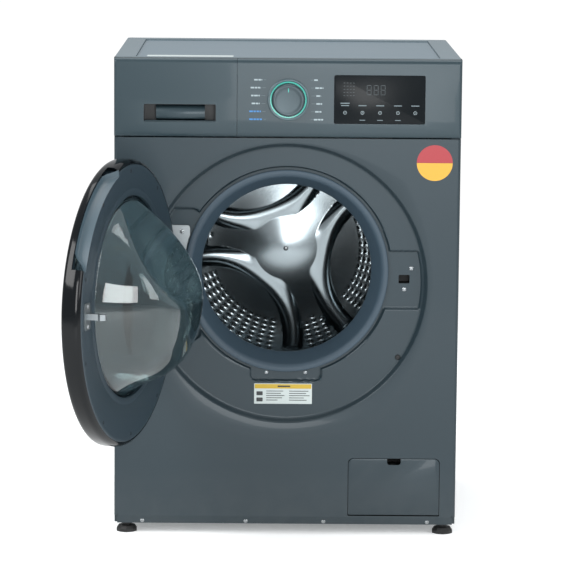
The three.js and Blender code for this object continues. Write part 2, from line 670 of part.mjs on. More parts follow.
function tubFront() {
  const neck = OPENING_R + 4.5;
  return turnY([[neck, TUB_FRONT], [neck + 3.5, TUB_FRONT], [neck + 3.5, 84], [TUB_R - 6, 84],
    [TUB_R, 90], [TUB_R, TUB_SPLIT - 5], [TUB_R + 3, TUB_SPLIT - 5], [TUB_R + 3, TUB_SPLIT],
    [TUB_R - TUB_WALL, TUB_SPLIT], [TUB_R - TUB_WALL, 91], [TUB_R - 8, 87.5], [neck, 87.5]],
    0, DRUM_Z, TUB_SIDES);
}

function tubRear() {
  const start = TUB_SPLIT + GAP;
  const back = TUB_BACK - 4;
  const hub = 38;
  let tub = turnY([[TUB_R - TUB_WALL, start], [TUB_R + 3, start], [TUB_R + 3, start + 4],
    [TUB_R, start + 4], [TUB_R, TUB_BACK - 6], [TUB_R - 6, TUB_BACK], [hub, TUB_BACK], [hub, 408],
    [0, 408], [0, 353], [hub, 353], [hub + 8, back], [TUB_R - 8, back], [TUB_R - TUB_WALL, back - 4]],
    0, DRUM_Z, TUB_SIDES);
  const [half, low] = [45, DRUM_Z - TUB_R - 22];
  const trough = cut(
    block(-half, half, start, TUB_BACK, low, low + 44),
    rodY(TUB_R - 1, start - 1, TUB_BACK + 1, 0, DRUM_Z, TUB_SIDES),
  );
  const shelf = (x, y, z0, z1) => block(x - 12, x + 12, y - 12, y + 12, z0, z1);
  const spare = rodY(TUB_R - 1, 0, DEPTH, 0, DRUM_Z, TUB_SIDES);
  const lugs = [-1, 1].map((side) => add(
    cut(block(...[side * (TUB_R - 57), side * (SPRING_X + 12)].sort((a, b) => a - b), SPRING_Y - 12,
      SPRING_Y + 12, SPRING_LUG - 8, SPRING_LUG), spare),
    cut(shelf(side * DAMPER_X, DAMPER_Y, DAMPER_TOP, DAMPER_TOP + 36), spare),
  ));
  const ribs = [0, 60, 120].map((angle) => {
    const rib = cut(
      block(-TUB_R + 14, TUB_R - 14, TUB_BACK - 1, TUB_BACK + 12, -2, 2),
      rodY(hub - 2, TUB_BACK - 5, TUB_BACK + 20, 0, 0, ROUND),
    );
    return rib.rotate([0, angle, 0]).translate([0, 0, DRUM_Z]);
  });
  tub = add(tub, trough, ...lugs, ...ribs);
  return cut(
    tub,
    block(-half + 3, half - 3, start + 3, TUB_BACK - 4, low + 3, low + 74)
      .subtract(rodY(DRUM_R, 0, DEPTH, 0, DRUM_Z, ROUND)),
    block(-32, 32, TUB_BACK - 10, TUB_BACK + 20, low + 6, low + 22),
    rodY(26.3, 350, 372, 0, DRUM_Z, ROUND),
    rodY(19, 360, 400, 0, DRUM_Z, ROUND),
    rodY(23.8, 389, 410, 0, DRUM_Z, ROUND),
  );
}

function counterweightFront() {
  const ring = ringY(OPENING_R + 15, TUB_R - 6, 53, 83.6, 0, DRUM_Z, TUB_SIDES);
  return ring.intersect(block(-WIDTH, WIDTH, 0, DEPTH, 0, DRUM_Z - 45));
}

function counterweightTop() {
  return cut(
    block(SPLIT_X + 7.5, HALF_W - 114, 120, 330, DRUM_Z + TUB_R - 57, DRUM_Z + TUB_R + 61),
    rodY(TUB_R + GAP, 100, TUB_SPLIT - 8, 0, DRUM_Z, TUB_SIDES),
    rodY(TUB_R + 4, TUB_SPLIT - 8, TUB_SPLIT + 8, 0, DRUM_Z, TUB_SIDES),
    rodY(TUB_R + GAP, TUB_SPLIT + 8, 400, 0, DRUM_Z, TUB_SIDES),
  );
}

function motor() {
  return add(
    rodY(50, 270, 395, MOTOR_X, MOTOR_Z, ROUND),
    rodY(20, 394, 402, MOTOR_X, MOTOR_Z, SMALL),
    rodY(6, 400, 432, MOTOR_X, MOTOR_Z, 16).subtract(rodY(9, 402, 440, MOTOR_X, MOTOR_Z, 16)),
    block(MOTOR_X - 40, MOTOR_X - 28, 290, 380, MOTOR_Z + 28, MOTOR_Z + 110),
    block(MOTOR_X + 20, MOTOR_X + 32, 290, 380, MOTOR_Z + 28, MOTOR_Z + 110),
  ).subtract(rodY(TUB_R + GAP, 0, DEPTH, 0, DRUM_Z, TUB_SIDES))
    .subtract(block(-46, 46, 190, 400, MOTOR_Z + 40, MOTOR_Z + 110));
}

function heater() {
  const low = DRUM_Z - TUB_R - 22;
  const z = low + 14;
  const loop = [[-20, 366, z], [-20, 300, z], [-20, 235, z], [-12, 220, z], [0, 216, z], [12, 220, z],
    [20, 235, z], [20, 300, z], [20, 366, z]];
  return add(
    wire(loop, 3.6, 20, 8),
    block(-31, 31, 364, TUB_BACK + 8, z - 7.4, z + 7.4),
    block(-20, -16, TUB_BACK + 7, TUB_BACK + 18, z - 3, z + 3),
    block(16, 20, TUB_BACK + 7, TUB_BACK + 18, z - 3, z + 3),
  );
}

function bearing(outer, y0, y1) {
  return ringY(SHAFT_R + BORE_GAP, outer, y0, y1, 0, DRUM_Z, ROUND);
}

// Outline of a belt round both pulleys, clear of them by the given gap.
function beltOutline(gap) {
  const [dx, dz] = [MOTOR_X, MOTOR_Z - DRUM_Z];
  const [big, small] = [PULLEY_R + gap, MOTOR_PULLEY_R + gap];
  const heading = Math.atan2(dz, dx);
  const open = Math.acos((big - small) / Math.hypot(dx, dz));
  const points = [];
  const steps = 40;
  for (let i = 0; i <= steps; i += 1) {
    const angle = heading + open + (2 * Math.PI - 2 * open) * i / steps;
    points.push([big * Math.cos(angle), DRUM_Z + big * Math.sin(angle)]);
  }
  for (let i = 0; i <= 8; i += 1) {
    const angle = heading - open + 2 * open * i / 8;
    points.push([MOTOR_X + small * Math.cos(angle), MOTOR_Z + small * Math.sin(angle)]);
  }
  return points;
}

function driveBelt() {
  return cut(
    slabY(beltOutline(GAP + BELT), 413, 427),
    slabY(beltOutline(GAP), 410, 430),
  );
}

// ---- Drum ---------------------------------------------------------------------------------

// One of the three curved ribs pressed into the drum's back wall.
function backRib(turn) {
  const [centreR, middle, half, reach] = [150, DRUM_R - 23, 15.5, 58];
  const points = [];
  const steps = 10;
  for (const [radius, sign] of [[centreR + half, 1], [centreR - half, -1]]) {
    for (let i = 0; i <= steps; i += 1) {
      const angle = THREE.MathUtils.degToRad(180 + sign * (reach * (2 * i / steps - 1)));
      points.push([middle + radius * Math.cos(angle), radius * Math.sin(angle)]);
    }
  }
  return slabY(points, DRUM_BACK - 12, DRUM_BACK - 0.5).rotate([0, turn, 0]).translate([0, 0, DRUM_Z]);
}

function drumShell() {
  const t = SHEET;
  const outside = [[DRUM_LIP_R, 88], [DRUM_LIP_R + 3, 85.5], [DRUM_LIP_R + 7, DRUM_FRONT],
    [DRUM_R - 5, DRUM_FRONT], [DRUM_R, DRUM_FRONT + 5], [DRUM_R, DRUM_BACK - 5],
    [DRUM_R - 5, DRUM_BACK], [150, DRUM_BACK], [110, DRUM_BACK - 5], [60, DRUM_BACK - 14],
    [0, DRUM_BACK - 17]];
  const inside = [[0, DRUM_BACK - 17 - t], [60.2, DRUM_BACK - 14 - t], [110.2, DRUM_BACK - 5 - t],
    [150.2, DRUM_BACK - t], [DRUM_R - 5.5, DRUM_BACK - t], [DRUM_R - t, DRUM_BACK - 5.5],
    [DRUM_R - t, DRUM_FRONT + 5.5], [DRUM_R - 5.5, DRUM_FRONT + t], [DRUM_LIP_R + 6.4, DRUM_FRONT + t],
    [DRUM_LIP_R + 3, 87.2]];
  const shell = turnY([...outside, ...inside], 0, DRUM_Z, BIG);
  return add(shell, ...[0, 120, 240].map((turn) => backRib(turn + 9)));
}

function lifter(turn) {
  const high = 44;
  const r = DRUM_R - SHEET - GAP;
  const section = [[-34, r - 3], [-14, r - high + 6], [-8, r - high], [8, r - high], [14, r - high + 6],
    [34, r - 3]];
  const body = slabY([...section, [34, r + 20], [-34, r + 20]], DRUM_FRONT + 8, DRUM_BACK - 14);
  const ring = rodY(r, 0, DEPTH, 0, 0, BIG);
  return body.intersect(ring).rotate([0, turn, 0]).translate([0, 0, DRUM_Z]);
}

function drumSpider() {
  const y = DRUM_BACK + GAP;
  const arm = (turn) => slabX([[y, -14], [y + 10, -10], [y + 10, 10], [y, 14]], 0, DRUM_R - 10)
    .rotate([0, turn, 0]);
  const hub = rodY(30, y, 349, 0, 0, ROUND);
  const spider = add(hub, arm(55), arm(175), arm(295)).translate([0, 0, DRUM_Z]);
  return spider.subtract(rodY(SHAFT_R + GAP, y + 6, DEPTH, 0, DRUM_Z, ROUND));
}

function drumShaft() {
  return rodY(SHAFT_R, DRUM_BACK + 7, 434, 0, DRUM_Z, ROUND);
}

function drumPulley() {
  const holes = [0, 1, 2, 3, 4].map((i) => {
    const angle = 2 * Math.PI * i / 5;
    return rodY(33, 400, 440, 88 * Math.cos(angle), DRUM_Z + 88 * Math.sin(angle), SMALL);
  });
  return cut(
    turnY([[SHAFT_R + GAP, 412], [24, 412], [26, 417], [PULLEY_R - 14, 417], [PULLEY_R - 12, 411],
      [PULLEY_R, 411], [PULLEY_R, 429], [PULLEY_R - 12, 429], [PULLEY_R - 14, 422], [26, 422],
      [24, 430], [SHAFT_R + GAP, 430]], 0, DRUM_Z, ROUND),
    ...holes,
  );
}

function motorPulley() {
  return rodY(MOTOR_PULLEY_R, 402.4, 429, MOTOR_X, MOTOR_Z, SMALL);
}

// ---- Door, drawn closed -------------------------------------------------------------------

const GRIP_FLOOR = DOOR_FRONT + 13;

// The finger recess in the free side of the door, above the lock.
function gripRecess(grow, y0, y1, outer) {
  const scoop = ringY(DOOR_R - 16 - grow, outer, y0, y1, 0, DISH_Z, FINE);
  const [z0, z1] = [DISH_Z + DOOR_R - 160 - grow, DISH_Z + DOOR_R - 23 + grow];
  return scoop.intersect(block(DOOR_R - 190, DOOR_R + 30, -60, 60, z0, z1));
}

// Room in the door for the hinge, and the notches its two cranked ears pass through.
function hingePocket() {
  return block(-DOOR_R, -GLASS_R - 15, DOOR_FRONT + 5.8, 20, DISH_Z - 50, DISH_Z + 50);
}

function earNotches() {
  return add(...HINGE_EARS.map((z) => block(-DOOR_R - 10, HINGE_X, HINGE_Y + 6, 20, z - 4, z + 4)));
}

function doorRim() {
  const f = DOOR_FRONT;
  const inner = DOOR_R - 34;
  const rim = turnY([[inner, f], [DOOR_R - 5, f], [DOOR_R - 1, f + 3], [DOOR_R, f + 8],
    [DOOR_R, f + 20], [DOOR_R - 2, f + 27], [DOOR_R - 8, f + 31.4], [DOOR_R - 8, f + 28],
    [DOOR_R - 3, f + 20], [DOOR_R - 3, f + 6], [DOOR_R - 6, f + 3], [inner, f + 3]], 0, DISH_Z, FINE);
  return cut(rim, gripRecess(0, GRIP_FLOOR, 20, DOOR_R + 20), earNotches());
}

function doorWindow() {
  const [f, edge] = [DOOR_FRONT, DOOR_R - 34.4];
  return turnY([[0, f - 6], [edge - 115, f - 5.2], [edge - 45, f - 2.6], [edge, f + 0.4],
    [edge, f + 3.4], [edge - 45, f + 0.4], [edge - 115, f - 2.2], [0, f - 3]], 0, DISH_Z, FINE);
}

function doorRing() {
  const [outer, b] = [DOOR_R - 8.4, DOOR_BACK];
  const plate = rodY(outer, -2, b, 0, DISH_Z, FINE);
  const skirt = ringY(outer - 3, outer, DOOR_FRONT + 4, b, 0, DISH_Z, FINE);
  const seat = ringY(GLASS_R + 12, GLASS_R + 15, -22, b, 0, GLASS_Z, BIG);
  const opening = rodY(GLASS_R, -40, 20, 0, GLASS_Z, BIG);
  const walls = block(-DOOR_R, -GLASS_R - 13, DOOR_FRONT + 4, b, DISH_Z - 52, DISH_Z + 52)
    .intersect(rodY(outer, -40, 20, 0, DISH_Z, FINE));
  const scoop = add(
    gripRecess(WALL, GRIP_FLOOR - WALL, b, outer),
    gripRecess(WALL, GRIP_FLOOR - WALL, GRIP_FLOOR, DOOR_R - 3.6),
  );
  return cut(
    add(plate, skirt, seat, walls, scoop),
    opening,
    hingePocket(),
    gripRecess(0, GRIP_FLOOR, 20, DOOR_R + 20),
  );
}

// Half space below a slanted plane, for the flat facet on the upper part of the bowl.
function wedge(offset) {
  const far = 600;
  const top = GLASS_Z + GLASS_R + 4 + offset;
  const section = [[-far, GLASS_Z - 2 * far], [far, GLASS_Z - 2 * far], [far, top - 1.45 * (far + 10)],
    [-10, top], [-far, top]];
  return slabX(section, -far, far);
}

function doorGlass() {
  const deep = 112;
  const t = GLASS;
  const g = GLASS_R;
  const outer = [[0, -3], [g - 5, -3], [g - 14, 10], [g - 25, 31], [g - 35, 54], [g - 50, 76],
    [g - 73, 95], [g - 108, 107], [0, deep]];
  const inner = [[0, -5], [g - 5 - t, -5], [g - 14 - t, 10], [g - 25 - t, 31], [g - 35 - t, 52.5],
    [g - 50 - t, 73.5], [g - 73 - t * 0.9, 92], [g - 108 - t * 0.5, 107 - t], [0, deep - t]];
  const shell = (profile, offset) => turnY(profile, 0, GLASS_Z, BIG).intersect(wedge(offset));
  const flange = ringY(GLASS_R - 15, GLASS_R + 10.5, -6.6, -2.4, 0, GLASS_Z, BIG);
  return cut(
    add(flange, shell(outer, 0)),
    shell(inner, -t * 1.2),
    rodY(GLASS_R - 11, -10, -2.9, 0, GLASS_Z, BIG),
  );
}

// The pin and the two lugs that carry it, screwed to the floor of the pocket.
function hingeArm() {
  const half = 48;
  const floor = DOOR_FRONT + 6.2;
  const end = -GLASS_R - 16;
  const lug = slabZ([[HINGE_X - 5, floor + 1], [HINGE_X - 3, floor], [end, floor],
    [end, floor + 2], [HINGE_X + 5, HINGE_Y + 5], [HINGE_X - 3, HINGE_Y + 5],
    [HINGE_X - 5, HINGE_Y + 3]], DISH_Z + 37, DISH_Z + half);
  return add(
    lug,
    lug.translate([0, 0, -37 - half]),
    rodZ(PIN_R, DISH_Z - half + 1, DISH_Z + half - 1, HINGE_X, HINGE_Y, 16),
  );
}

function latchHook() {
  const x = LOCK_X;
  const [z0, z1] = [LOCK_Z - 5, LOCK_Z + 5];
  const hook = [[x - 4, DOOR_BACK + 1], [x + 4, DOOR_BACK + 1], [x + 3.2, 22], [x + 7.6, 27],
    [x + 2, 34], [x - 2, 34], [x - 4, 30]];
  return add(
    slabY(roundRect(x - 10, x + 14, LOCK_Z - 22, LOCK_Z + 22, 4), DOOR_BACK + 0.3, DOOR_BACK + 2),
    slabZ(hook, z0, z1),
  );
}

// ---- Assembly -----------------------------------------------------------------------------

function group(name, ...children) {
  const made = new THREE.Group();
  made.name = name;
  made.add(...children);
  return made;
}

function cabinet() {
  return group(
    'cabinet',
    part('front_panel', frontPanel(), PAINT),
    part('side_panel_left', sidePanel(-1), PAINT),
    part('side_panel_right', sidePanel(1), PAINT),
    part('rear_panel', rearPanel(), PAINT),
    part('rear_cover', rearCover(), PAINT),
    part('base_pan', basePan(), ZINC),
    part('worktop_frame', worktopFrame(), LAMINATE),
    part('worktop_board', worktopBoard(), LAMINATE),
    part('control_panel', controlPanel(), FASCIA),
    part('display_window', displayWindow(), GLOSS),
    part('knob_bezel', knobBezel(), ALUMINIUM),
    part('control_board', controlBoard(), GREEN),
    part('dispenser_housing', dispenserHousing(), POLYMER),
    part('inlet_valve', inletValve(), POLYMER),
    part('drain_outlet', drainOutlet(), DARK),
    part('cord_gland', cordGland(), DARK),
    part('door_lock', doorLock(), DARK),
    part('hinge_plate', hingePlate(), ZINC),
    part('gasket', gasket(), RUBBER),
    part('pump_housing', pumpHousing(), DARK),
    part('damper_cylinder_left', damperCylinder(-1), DARK),
    part('damper_cylinder_right', damperCylinder(1), DARK),
  );
}

function smallMovers() {
  const [near, far] = [FOOT_SETBACK, DEPTH - FOOT_SETBACK];
  return group(
    'small_movers',
    part('knob', knob(), ALUMINIUM),
    part('drawer_front', drawerFront(), FASCIA),
    part('drawer_tray', drawerTray(), POLYMER),
    part('siphon_cap', siphonCap(), RUBBER),
    part('service_flap', serviceFlap(), PAINT),
    part('filter_cap', filterCap(), DARK),
    part('pump_impeller', pumpImpeller(), DARK),
    part('foot_front_left', foot(-FOOT_X, near), DARK),
    part('foot_front_right', foot(FOOT_X, near), DARK),
    part('foot_rear_left', foot(-FOOT_X, far), DARK),
    part('foot_rear_right', foot(FOOT_X, far), DARK),
  );
}

function tub() {
  return group(
    'tub',
    part('tub_front', tubFront(), POLYMER),
    part('tub_rear', tubRear(), POLYMER),
    part('counterweight_front', counterweightFront(), CONCRETE),
    part('counterweight_top', counterweightTop(), CONCRETE),
    part('motor', motor(), ZINC),
    part('heater', heater(), STEEL),
    part('damper_rod_left', damperRod(-1), ZINC),
    part('damper_rod_right', damperRod(1), ZINC),
    part('spring_left', spring(-1), STEEL),
    part('spring_right', spring(1), STEEL),
    part('bearing_front', bearing(26, 356, 371), STEEL),
    part('bearing_rear', bearing(23.5, 391, 405), STEEL),
    part('drive_belt', driveBelt(), DARK),
    part('motor_pulley', motorPulley(), ZINC),
  );
}

function drum() {
  return group(
    'drum',
    part('drum_shell', drumShell(), STEEL),
    part('lifter_1', lifter(0), STEEL),
    part('lifter_2', lifter(120), STEEL),
    part('lifter_3', lifter(240), STEEL),
    part('drum_spider', drumSpider(), ALUMINIUM),
    part('drum_shaft', drumShaft(), STEEL),
    part('drum_pulley', drumPulley(), ALUMINIUM),
  );
}

// The door is drawn closed, then swung open about its pin.
function door() {
  const open = (body) => body.translate([-HINGE_X, -HINGE_Y, 0]).rotate([0, 0, -DOOR_ANGLE])
    .translate([HINGE_X, HINGE_Y, 0]);
  return group(
    'door',
    part('door_rim', open(doorRim()), GLOSS),
    part('door_window', open(doorWindow()), CLEAR),
    part('door_ring', open(doorRing()), RUBBER),
    part('door_glass', open(doorGlass()), CLEAR),
    part('hinge_arm', open(hingeArm()), ZINC),
    part('latch_hook', open(latchHook()), ZINC),
  );
}

const machine = group('washing_machine', cabinet(), smallMovers(), tub(), drum(), door());
machine.position.set(FOOT_X, -FOOT_SETBACK, 0);

export default machine;
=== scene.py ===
# %% [markdown]
# # A front loading washing machine, dressed
# The solid parts of the machine come ready made as a fixed frame of named nodes. This lesson gives
# every node a finish, and models again the parts whose beauty is in a smooth curve: the pressed
# front, the gasket, the drum, the knob and the glass bowl of the door.

# %% Load the frame
import json
import math

import bmesh
import bpy
from mathutils import Matrix, Vector


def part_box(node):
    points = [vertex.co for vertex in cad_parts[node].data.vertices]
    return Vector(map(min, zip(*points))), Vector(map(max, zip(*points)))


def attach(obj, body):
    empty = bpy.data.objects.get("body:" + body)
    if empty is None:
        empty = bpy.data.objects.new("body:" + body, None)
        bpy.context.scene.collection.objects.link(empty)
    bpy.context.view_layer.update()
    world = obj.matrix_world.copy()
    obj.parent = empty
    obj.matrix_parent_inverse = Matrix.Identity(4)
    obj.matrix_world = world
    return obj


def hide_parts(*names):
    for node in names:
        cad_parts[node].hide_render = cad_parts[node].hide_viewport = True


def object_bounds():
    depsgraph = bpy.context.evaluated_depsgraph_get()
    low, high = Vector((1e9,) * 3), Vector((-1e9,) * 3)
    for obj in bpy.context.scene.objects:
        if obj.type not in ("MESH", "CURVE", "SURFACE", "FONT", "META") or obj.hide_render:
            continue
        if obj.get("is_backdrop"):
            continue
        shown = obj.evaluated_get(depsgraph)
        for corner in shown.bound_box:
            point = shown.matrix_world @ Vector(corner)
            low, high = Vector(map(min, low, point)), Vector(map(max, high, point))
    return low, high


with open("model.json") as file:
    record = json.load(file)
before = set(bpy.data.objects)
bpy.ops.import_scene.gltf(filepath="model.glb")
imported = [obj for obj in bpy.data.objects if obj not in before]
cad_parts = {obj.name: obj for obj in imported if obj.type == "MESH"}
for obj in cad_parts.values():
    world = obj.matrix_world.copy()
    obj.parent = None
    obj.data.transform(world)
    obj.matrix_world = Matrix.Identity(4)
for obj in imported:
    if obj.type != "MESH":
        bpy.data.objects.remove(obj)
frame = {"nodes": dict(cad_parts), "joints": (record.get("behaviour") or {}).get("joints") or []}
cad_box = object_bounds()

nodes = frame["nodes"]
print("nodes in the frame:", len(nodes))

# %% [markdown]
# A maker measures from the machine itself. Here every place is given in millimetres, across from
# the middle of the front, back from its face and up from the floor. One function turns that into
# metres in the frame. The door was made closed and stands open, so its pieces are measured on the
# closed door and a second function swings them about the hinge pin.

# %% Measuring on the machine
panel_low, panel_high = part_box("front_panel")
MIDDLE = (panel_low.x + panel_high.x) / 2
FACE = panel_low.y
DOOR_SWING = math.radians(-107.5)
door_joint = next(j for j in frame["joints"] if j["name"] == "door_hinge")
PIN = Vector(door_joint["pos_m"])


def at(x, y, z):
    return Vector((MIDDLE + x / 1000, FACE + y / 1000, z / 1000))


def on_door(x, y, z):
    arm = at(x, y, z) - PIN
    turned = Matrix.Rotation(DOOR_SWING, 3, "Z") @ arm
    return PIN + turned


print("face of the cabinet at", round(FACE, 4), "pin at", [round(v, 4) for v in PIN])

# %% [markdown]
# The main centres and radii are read off the nodes' boxes, so that the smooth parts land where
# the plain ones were. The gasket tells where the drum's axis is, and a few widths and gaps that no
# box shows are named here once.

# %% Centres and radii
GASKET_PAST_OPENING = 7
DOOR_DROP = 21
RING_WIDTH = 68
DISH_GAP = 6
gasket_low, gasket_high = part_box("gasket")
knob_low, knob_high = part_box("knob_bezel")
DRUM_Z = (gasket_low.z + gasket_high.z) * 500
OPENING = (gasket_high.z - gasket_low.z) * 500 - GASKET_PAST_OPENING
DOOR_Z = DRUM_Z - DOOR_DROP
DOOR_R = OPENING + RING_WIDTH
DISH_R = DOOR_R + DISH_GAP
KNOB = ((knob_low.x + knob_high.x) / 2 * 1000 - MIDDLE * 1000, (knob_low.z + knob_high.z) * 500)
HALF = (panel_high.x - panel_low.x) * 500
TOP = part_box("worktop_frame")[1].z * 1000
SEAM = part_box("drawer_front")[1].x * 1000 - MIDDLE * 1000 + 0.3
print("drum axis", round(DRUM_Z, 1), "opening", round(OPENING, 1), "knob", KNOB, "seam", SEAM)

# %% [markdown]
# Surfaces here are swept or turned. A grid of points joined into quads serves for all of them, and
# a ring of rounded corners serves for plates, keys and labels.

# %% Sheets of quads
def show(thing):
    bpy.context.scene.collection.objects.link(thing)


def piece(name, points, faces, body, finish, slot, sharp=40):
    mesh = bpy.data.meshes.new(name)
    mesh.from_pydata([tuple(p) for p in points], [], faces)
    work = bmesh.new()
    work.from_mesh(mesh)
    bmesh.ops.remove_doubles(work, verts=work.verts, dist=2e-6)
    bmesh.ops.recalc_face_normals(work, faces=work.faces)
    work.to_mesh(mesh)
    work.free()
    mesh.shade_smooth()
    mesh.set_sharp_from_angle(angle=math.radians(sharp))
    mesh.materials.append(finish)
    made = bpy.data.objects.new(name, mesh)
    show(made)
    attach(made, body)
    return made


def strip(rows, closed=False, offset=0):
    faces = []
    wide = len(rows[0])
    for i in range(len(rows) - 1):
        for j in range(wide if closed else wide - 1):
            k = (j + 1) % wide
            a, b = offset + i * wide, offset + (i + 1) * wide
            faces.append((a + j, a + k, b + k, b + j))
    return [p for row in rows for p in row], faces


def turned(profile, x, z, sides=160, where=at):
    rows = []
    for r, y in profile:
        turn = [math.tau * i / sides for i in range(sides)]
        rows.append([where(x + r * math.cos(a), y, z + r * math.sin(a)) for a in turn])
    return strip(rows, closed=True)


def joined(*parts):
    points, faces = [], []
    for some, quads in parts:
        base = len(points)
        points += some
        faces += [tuple(base + i for i in quad) for quad in quads]
    return points, faces


def soft(value):
    value = min(1, max(0, value))
    return value * value * (3 - 2 * value)


# %% Rounded plates
def ring_of(x0, x1, z0, z1, r, steps=6, low_r=None):
    limit = min((x1 - x0) / 2, (z1 - z0) / 2)
    low = max(0.01, min(r if low_r is None else low_r, limit))
    high = max(0.01, min(r, limit))
    corners = ((x1 - high, z1 - high, high), (x0 + high, z1 - high, high),
               (x0 + low, z0 + low, low), (x1 - low, z0 + low, low))
    points = []
    for quarter, (cx, cz, radius) in enumerate(corners):
        for i in range(steps + 1):
            a = math.radians(90 * quarter + 90 * i / steps)
            points.append((cx + radius * math.cos(a), cz + radius * math.sin(a)))
    return points


def plate(size, front, back, r=1, bevel=0.2, where=at, steps=6, low_r=None):
    x0, x1, z0, z1 = size
    stages = [(bevel, front), (bevel * 0.3, front + bevel * 0.3), (0, front + bevel), (0, back)]
    rows = []
    for inset, y in stages:
        low = None if low_r is None else low_r - inset
        loop = ring_of(x0 + inset, x1 - inset, z0 + inset, z1 - inset, r - inset, steps, low)
        rows.append([where(x, y, z) for x, z in loop])
    points, faces = strip(rows, closed=True)
    wide = len(rows[0])
    faces += [tuple(range(wide)), tuple(range(len(points) - wide, len(points)))]
    return points, faces


def on_top(x, y, z):
    return at(x, z, TOP - y)


def cut_away(target, *cutters):
    for points, faces in cutters:
        tool = bpy.data.objects.new("cutter", bpy.data.meshes.new("cutter"))
        tool.data.from_pydata([tuple(p) for p in points], [], faces)
        work = bmesh.new()
        work.from_mesh(tool.data)
        bmesh.ops.remove_doubles(work, verts=work.verts, dist=1e-6)
        bmesh.ops.recalc_face_normals(work, faces=work.faces)
        work.to_mesh(tool.data)
        work.free()
        show(tool)
        change = target.modifiers.new("cut", "BOOLEAN")
        change.object = tool
        change.solver = "EXACT"
        bake(target)
        bpy.data.objects.remove(tool)


def bake(target, sharp=40):
    bpy.context.view_layer.update()
    seen = target.evaluated_get(bpy.context.evaluated_depsgraph_get())
    old = target.data
    target.data = bpy.data.meshes.new_from_object(seen)
    target.modifiers.clear()
    bpy.data.meshes.remove(old)
    target.data.shade_smooth()
    target.data.set_sharp_from_angle(angle=math.radians(sharp))


def thicken(target, millimetres, sharp=40):
    change = target.modifiers.new("wall", "SOLIDIFY")
    change.thickness = millimetres / 1000
    change.offset = -1
    bake(target, sharp)

# %% [markdown]
# ## Finishes
# Paint, plastic and steel are never one even colour. Three effects are shared by all of them, so
# each is built once as a node group and placed in each material with its own numbers.
# The first breaks up a colour and its gloss in broad soft clouds and fine specks, as handling does.

# %% Shared effect: uneven finish
def new_group(name, inputs, outputs):
    group = bpy.data.node_groups.new(name, "ShaderNodeTree")
    for label, kind, value in inputs:
        socket = group.interface.new_socket(label, in_out="INPUT", socket_type=kind)
        socket.default_value = value
    for label, kind in outputs:
        group.interface.new_socket(label, in_out="OUTPUT", socket_type=kind)
    return group, group.nodes.new("NodeGroupInput"), group.nodes.new("NodeGroupOutput")


def noise(tree, scale, detail=4.0):
    made = tree.nodes.new("ShaderNodeTexNoise")
    made.inputs["Detail"].default_value = detail
    if isinstance(scale, (int, float)):
        made.inputs["Scale"].default_value = scale
    else:
        tree.links.new(scale, made.inputs["Scale"])
    return made


def math_node(tree, what, a, b):
    made = tree.nodes.new("ShaderNodeMath")
    made.operation = what
    for socket, value in zip(made.inputs, (a, b)):
        if isinstance(value, (int, float)):
            socket.default_value = value
        else:
            tree.links.new(value, socket)
    return made.outputs[0]


COLOUR, NUMBER, VECTOR = "NodeSocketColor", "NodeSocketFloat", "NodeSocketVector"
uneven, get, put = new_group(
    "uneven_finish",
    [("Place", VECTOR, (0, 0, 0)), ("Colour", COLOUR, (0.5, 0.5, 0.5, 1)), ("Scale", NUMBER, 6.0),
     ("Tint", NUMBER, 0.08), ("Roughness", NUMBER, 0.4), ("Spread", NUMBER, 0.1)],
    [("Colour", COLOUR), ("Roughness", NUMBER), ("Cloud", NUMBER)])
cloud = noise(uneven, get.outputs["Scale"], 5)
fine = noise(uneven, math_node(uneven, "MULTIPLY", get.outputs["Scale"], 23.0), 3)
for node in (cloud, fine):
    uneven.links.new(get.outputs["Place"], node.inputs["Vector"])
both = math_node(uneven, "ADD", math_node(uneven, "MULTIPLY", cloud.outputs["Fac"], 0.7),
                 math_node(uneven, "MULTIPLY", fine.outputs["Fac"], 0.3))
shift = math_node(uneven, "SUBTRACT", both, 0.5)
bright = math_node(uneven, "ADD", math_node(uneven, "MULTIPLY", shift, get.outputs["Tint"]), 1.0)
tinted = uneven.nodes.new("ShaderNodeVectorMath")
tinted.operation = "SCALE"
uneven.links.new(get.outputs["Colour"], tinted.inputs[0])
uneven.links.new(bright, tinted.inputs["Scale"])
uneven.links.new(tinted.outputs[0], put.inputs["Colour"])
rough = math_node(uneven, "ADD", math_node(uneven, "MULTIPLY", shift, get.outputs["Spread"]),
                  get.outputs["Roughness"])
uneven.links.new(rough, put.inputs["Roughness"])
uneven.links.new(cloud.outputs["Fac"], put.inputs["Cloud"])
print("group", uneven.name, "with", len(uneven.nodes), "nodes")

# %% [markdown]
# The second is dust and scuffing. It gathers low down, near the floor, where shoes and a mop
# reach. It is a mask made from height above the floor, broken up by noise, so it fades upwards.

# %% Shared effect: dust near the floor
dusty, get, put = new_group(
    "floor_dust",
    [("Place", VECTOR, (0, 0, 0)), ("Colour", COLOUR, (0.5, 0.5, 0.5, 1)), ("Amount", NUMBER, 0.3),
     ("Reach", NUMBER, 0.12)],
    [("Colour", COLOUR), ("Mask", NUMBER)])
split = dusty.nodes.new("ShaderNodeSeparateXYZ")
dusty.links.new(get.outputs["Place"], split.inputs[0])
fall = math_node(dusty, "SUBTRACT", 1.0, math_node(dusty, "DIVIDE", split.outputs["Z"], get.outputs["Reach"]))
patches = noise(dusty, 35.0, 6)
dusty.links.new(get.outputs["Place"], patches.inputs["Vector"])
clamp = dusty.nodes.new("ShaderNodeClamp")
dusty.links.new(math_node(dusty, "MULTIPLY", fall, patches.outputs["Fac"]), clamp.inputs["Value"])
mask = math_node(dusty, "MULTIPLY", clamp.outputs[0], get.outputs["Amount"])
blend = dusty.nodes.new("ShaderNodeMix")
blend.data_type = "RGBA"
blend.inputs["B"].default_value = (0.42, 0.40, 0.37, 1)
dusty.links.new(mask, blend.inputs["Factor"])
dusty.links.new(get.outputs["Colour"], blend.inputs["A"])
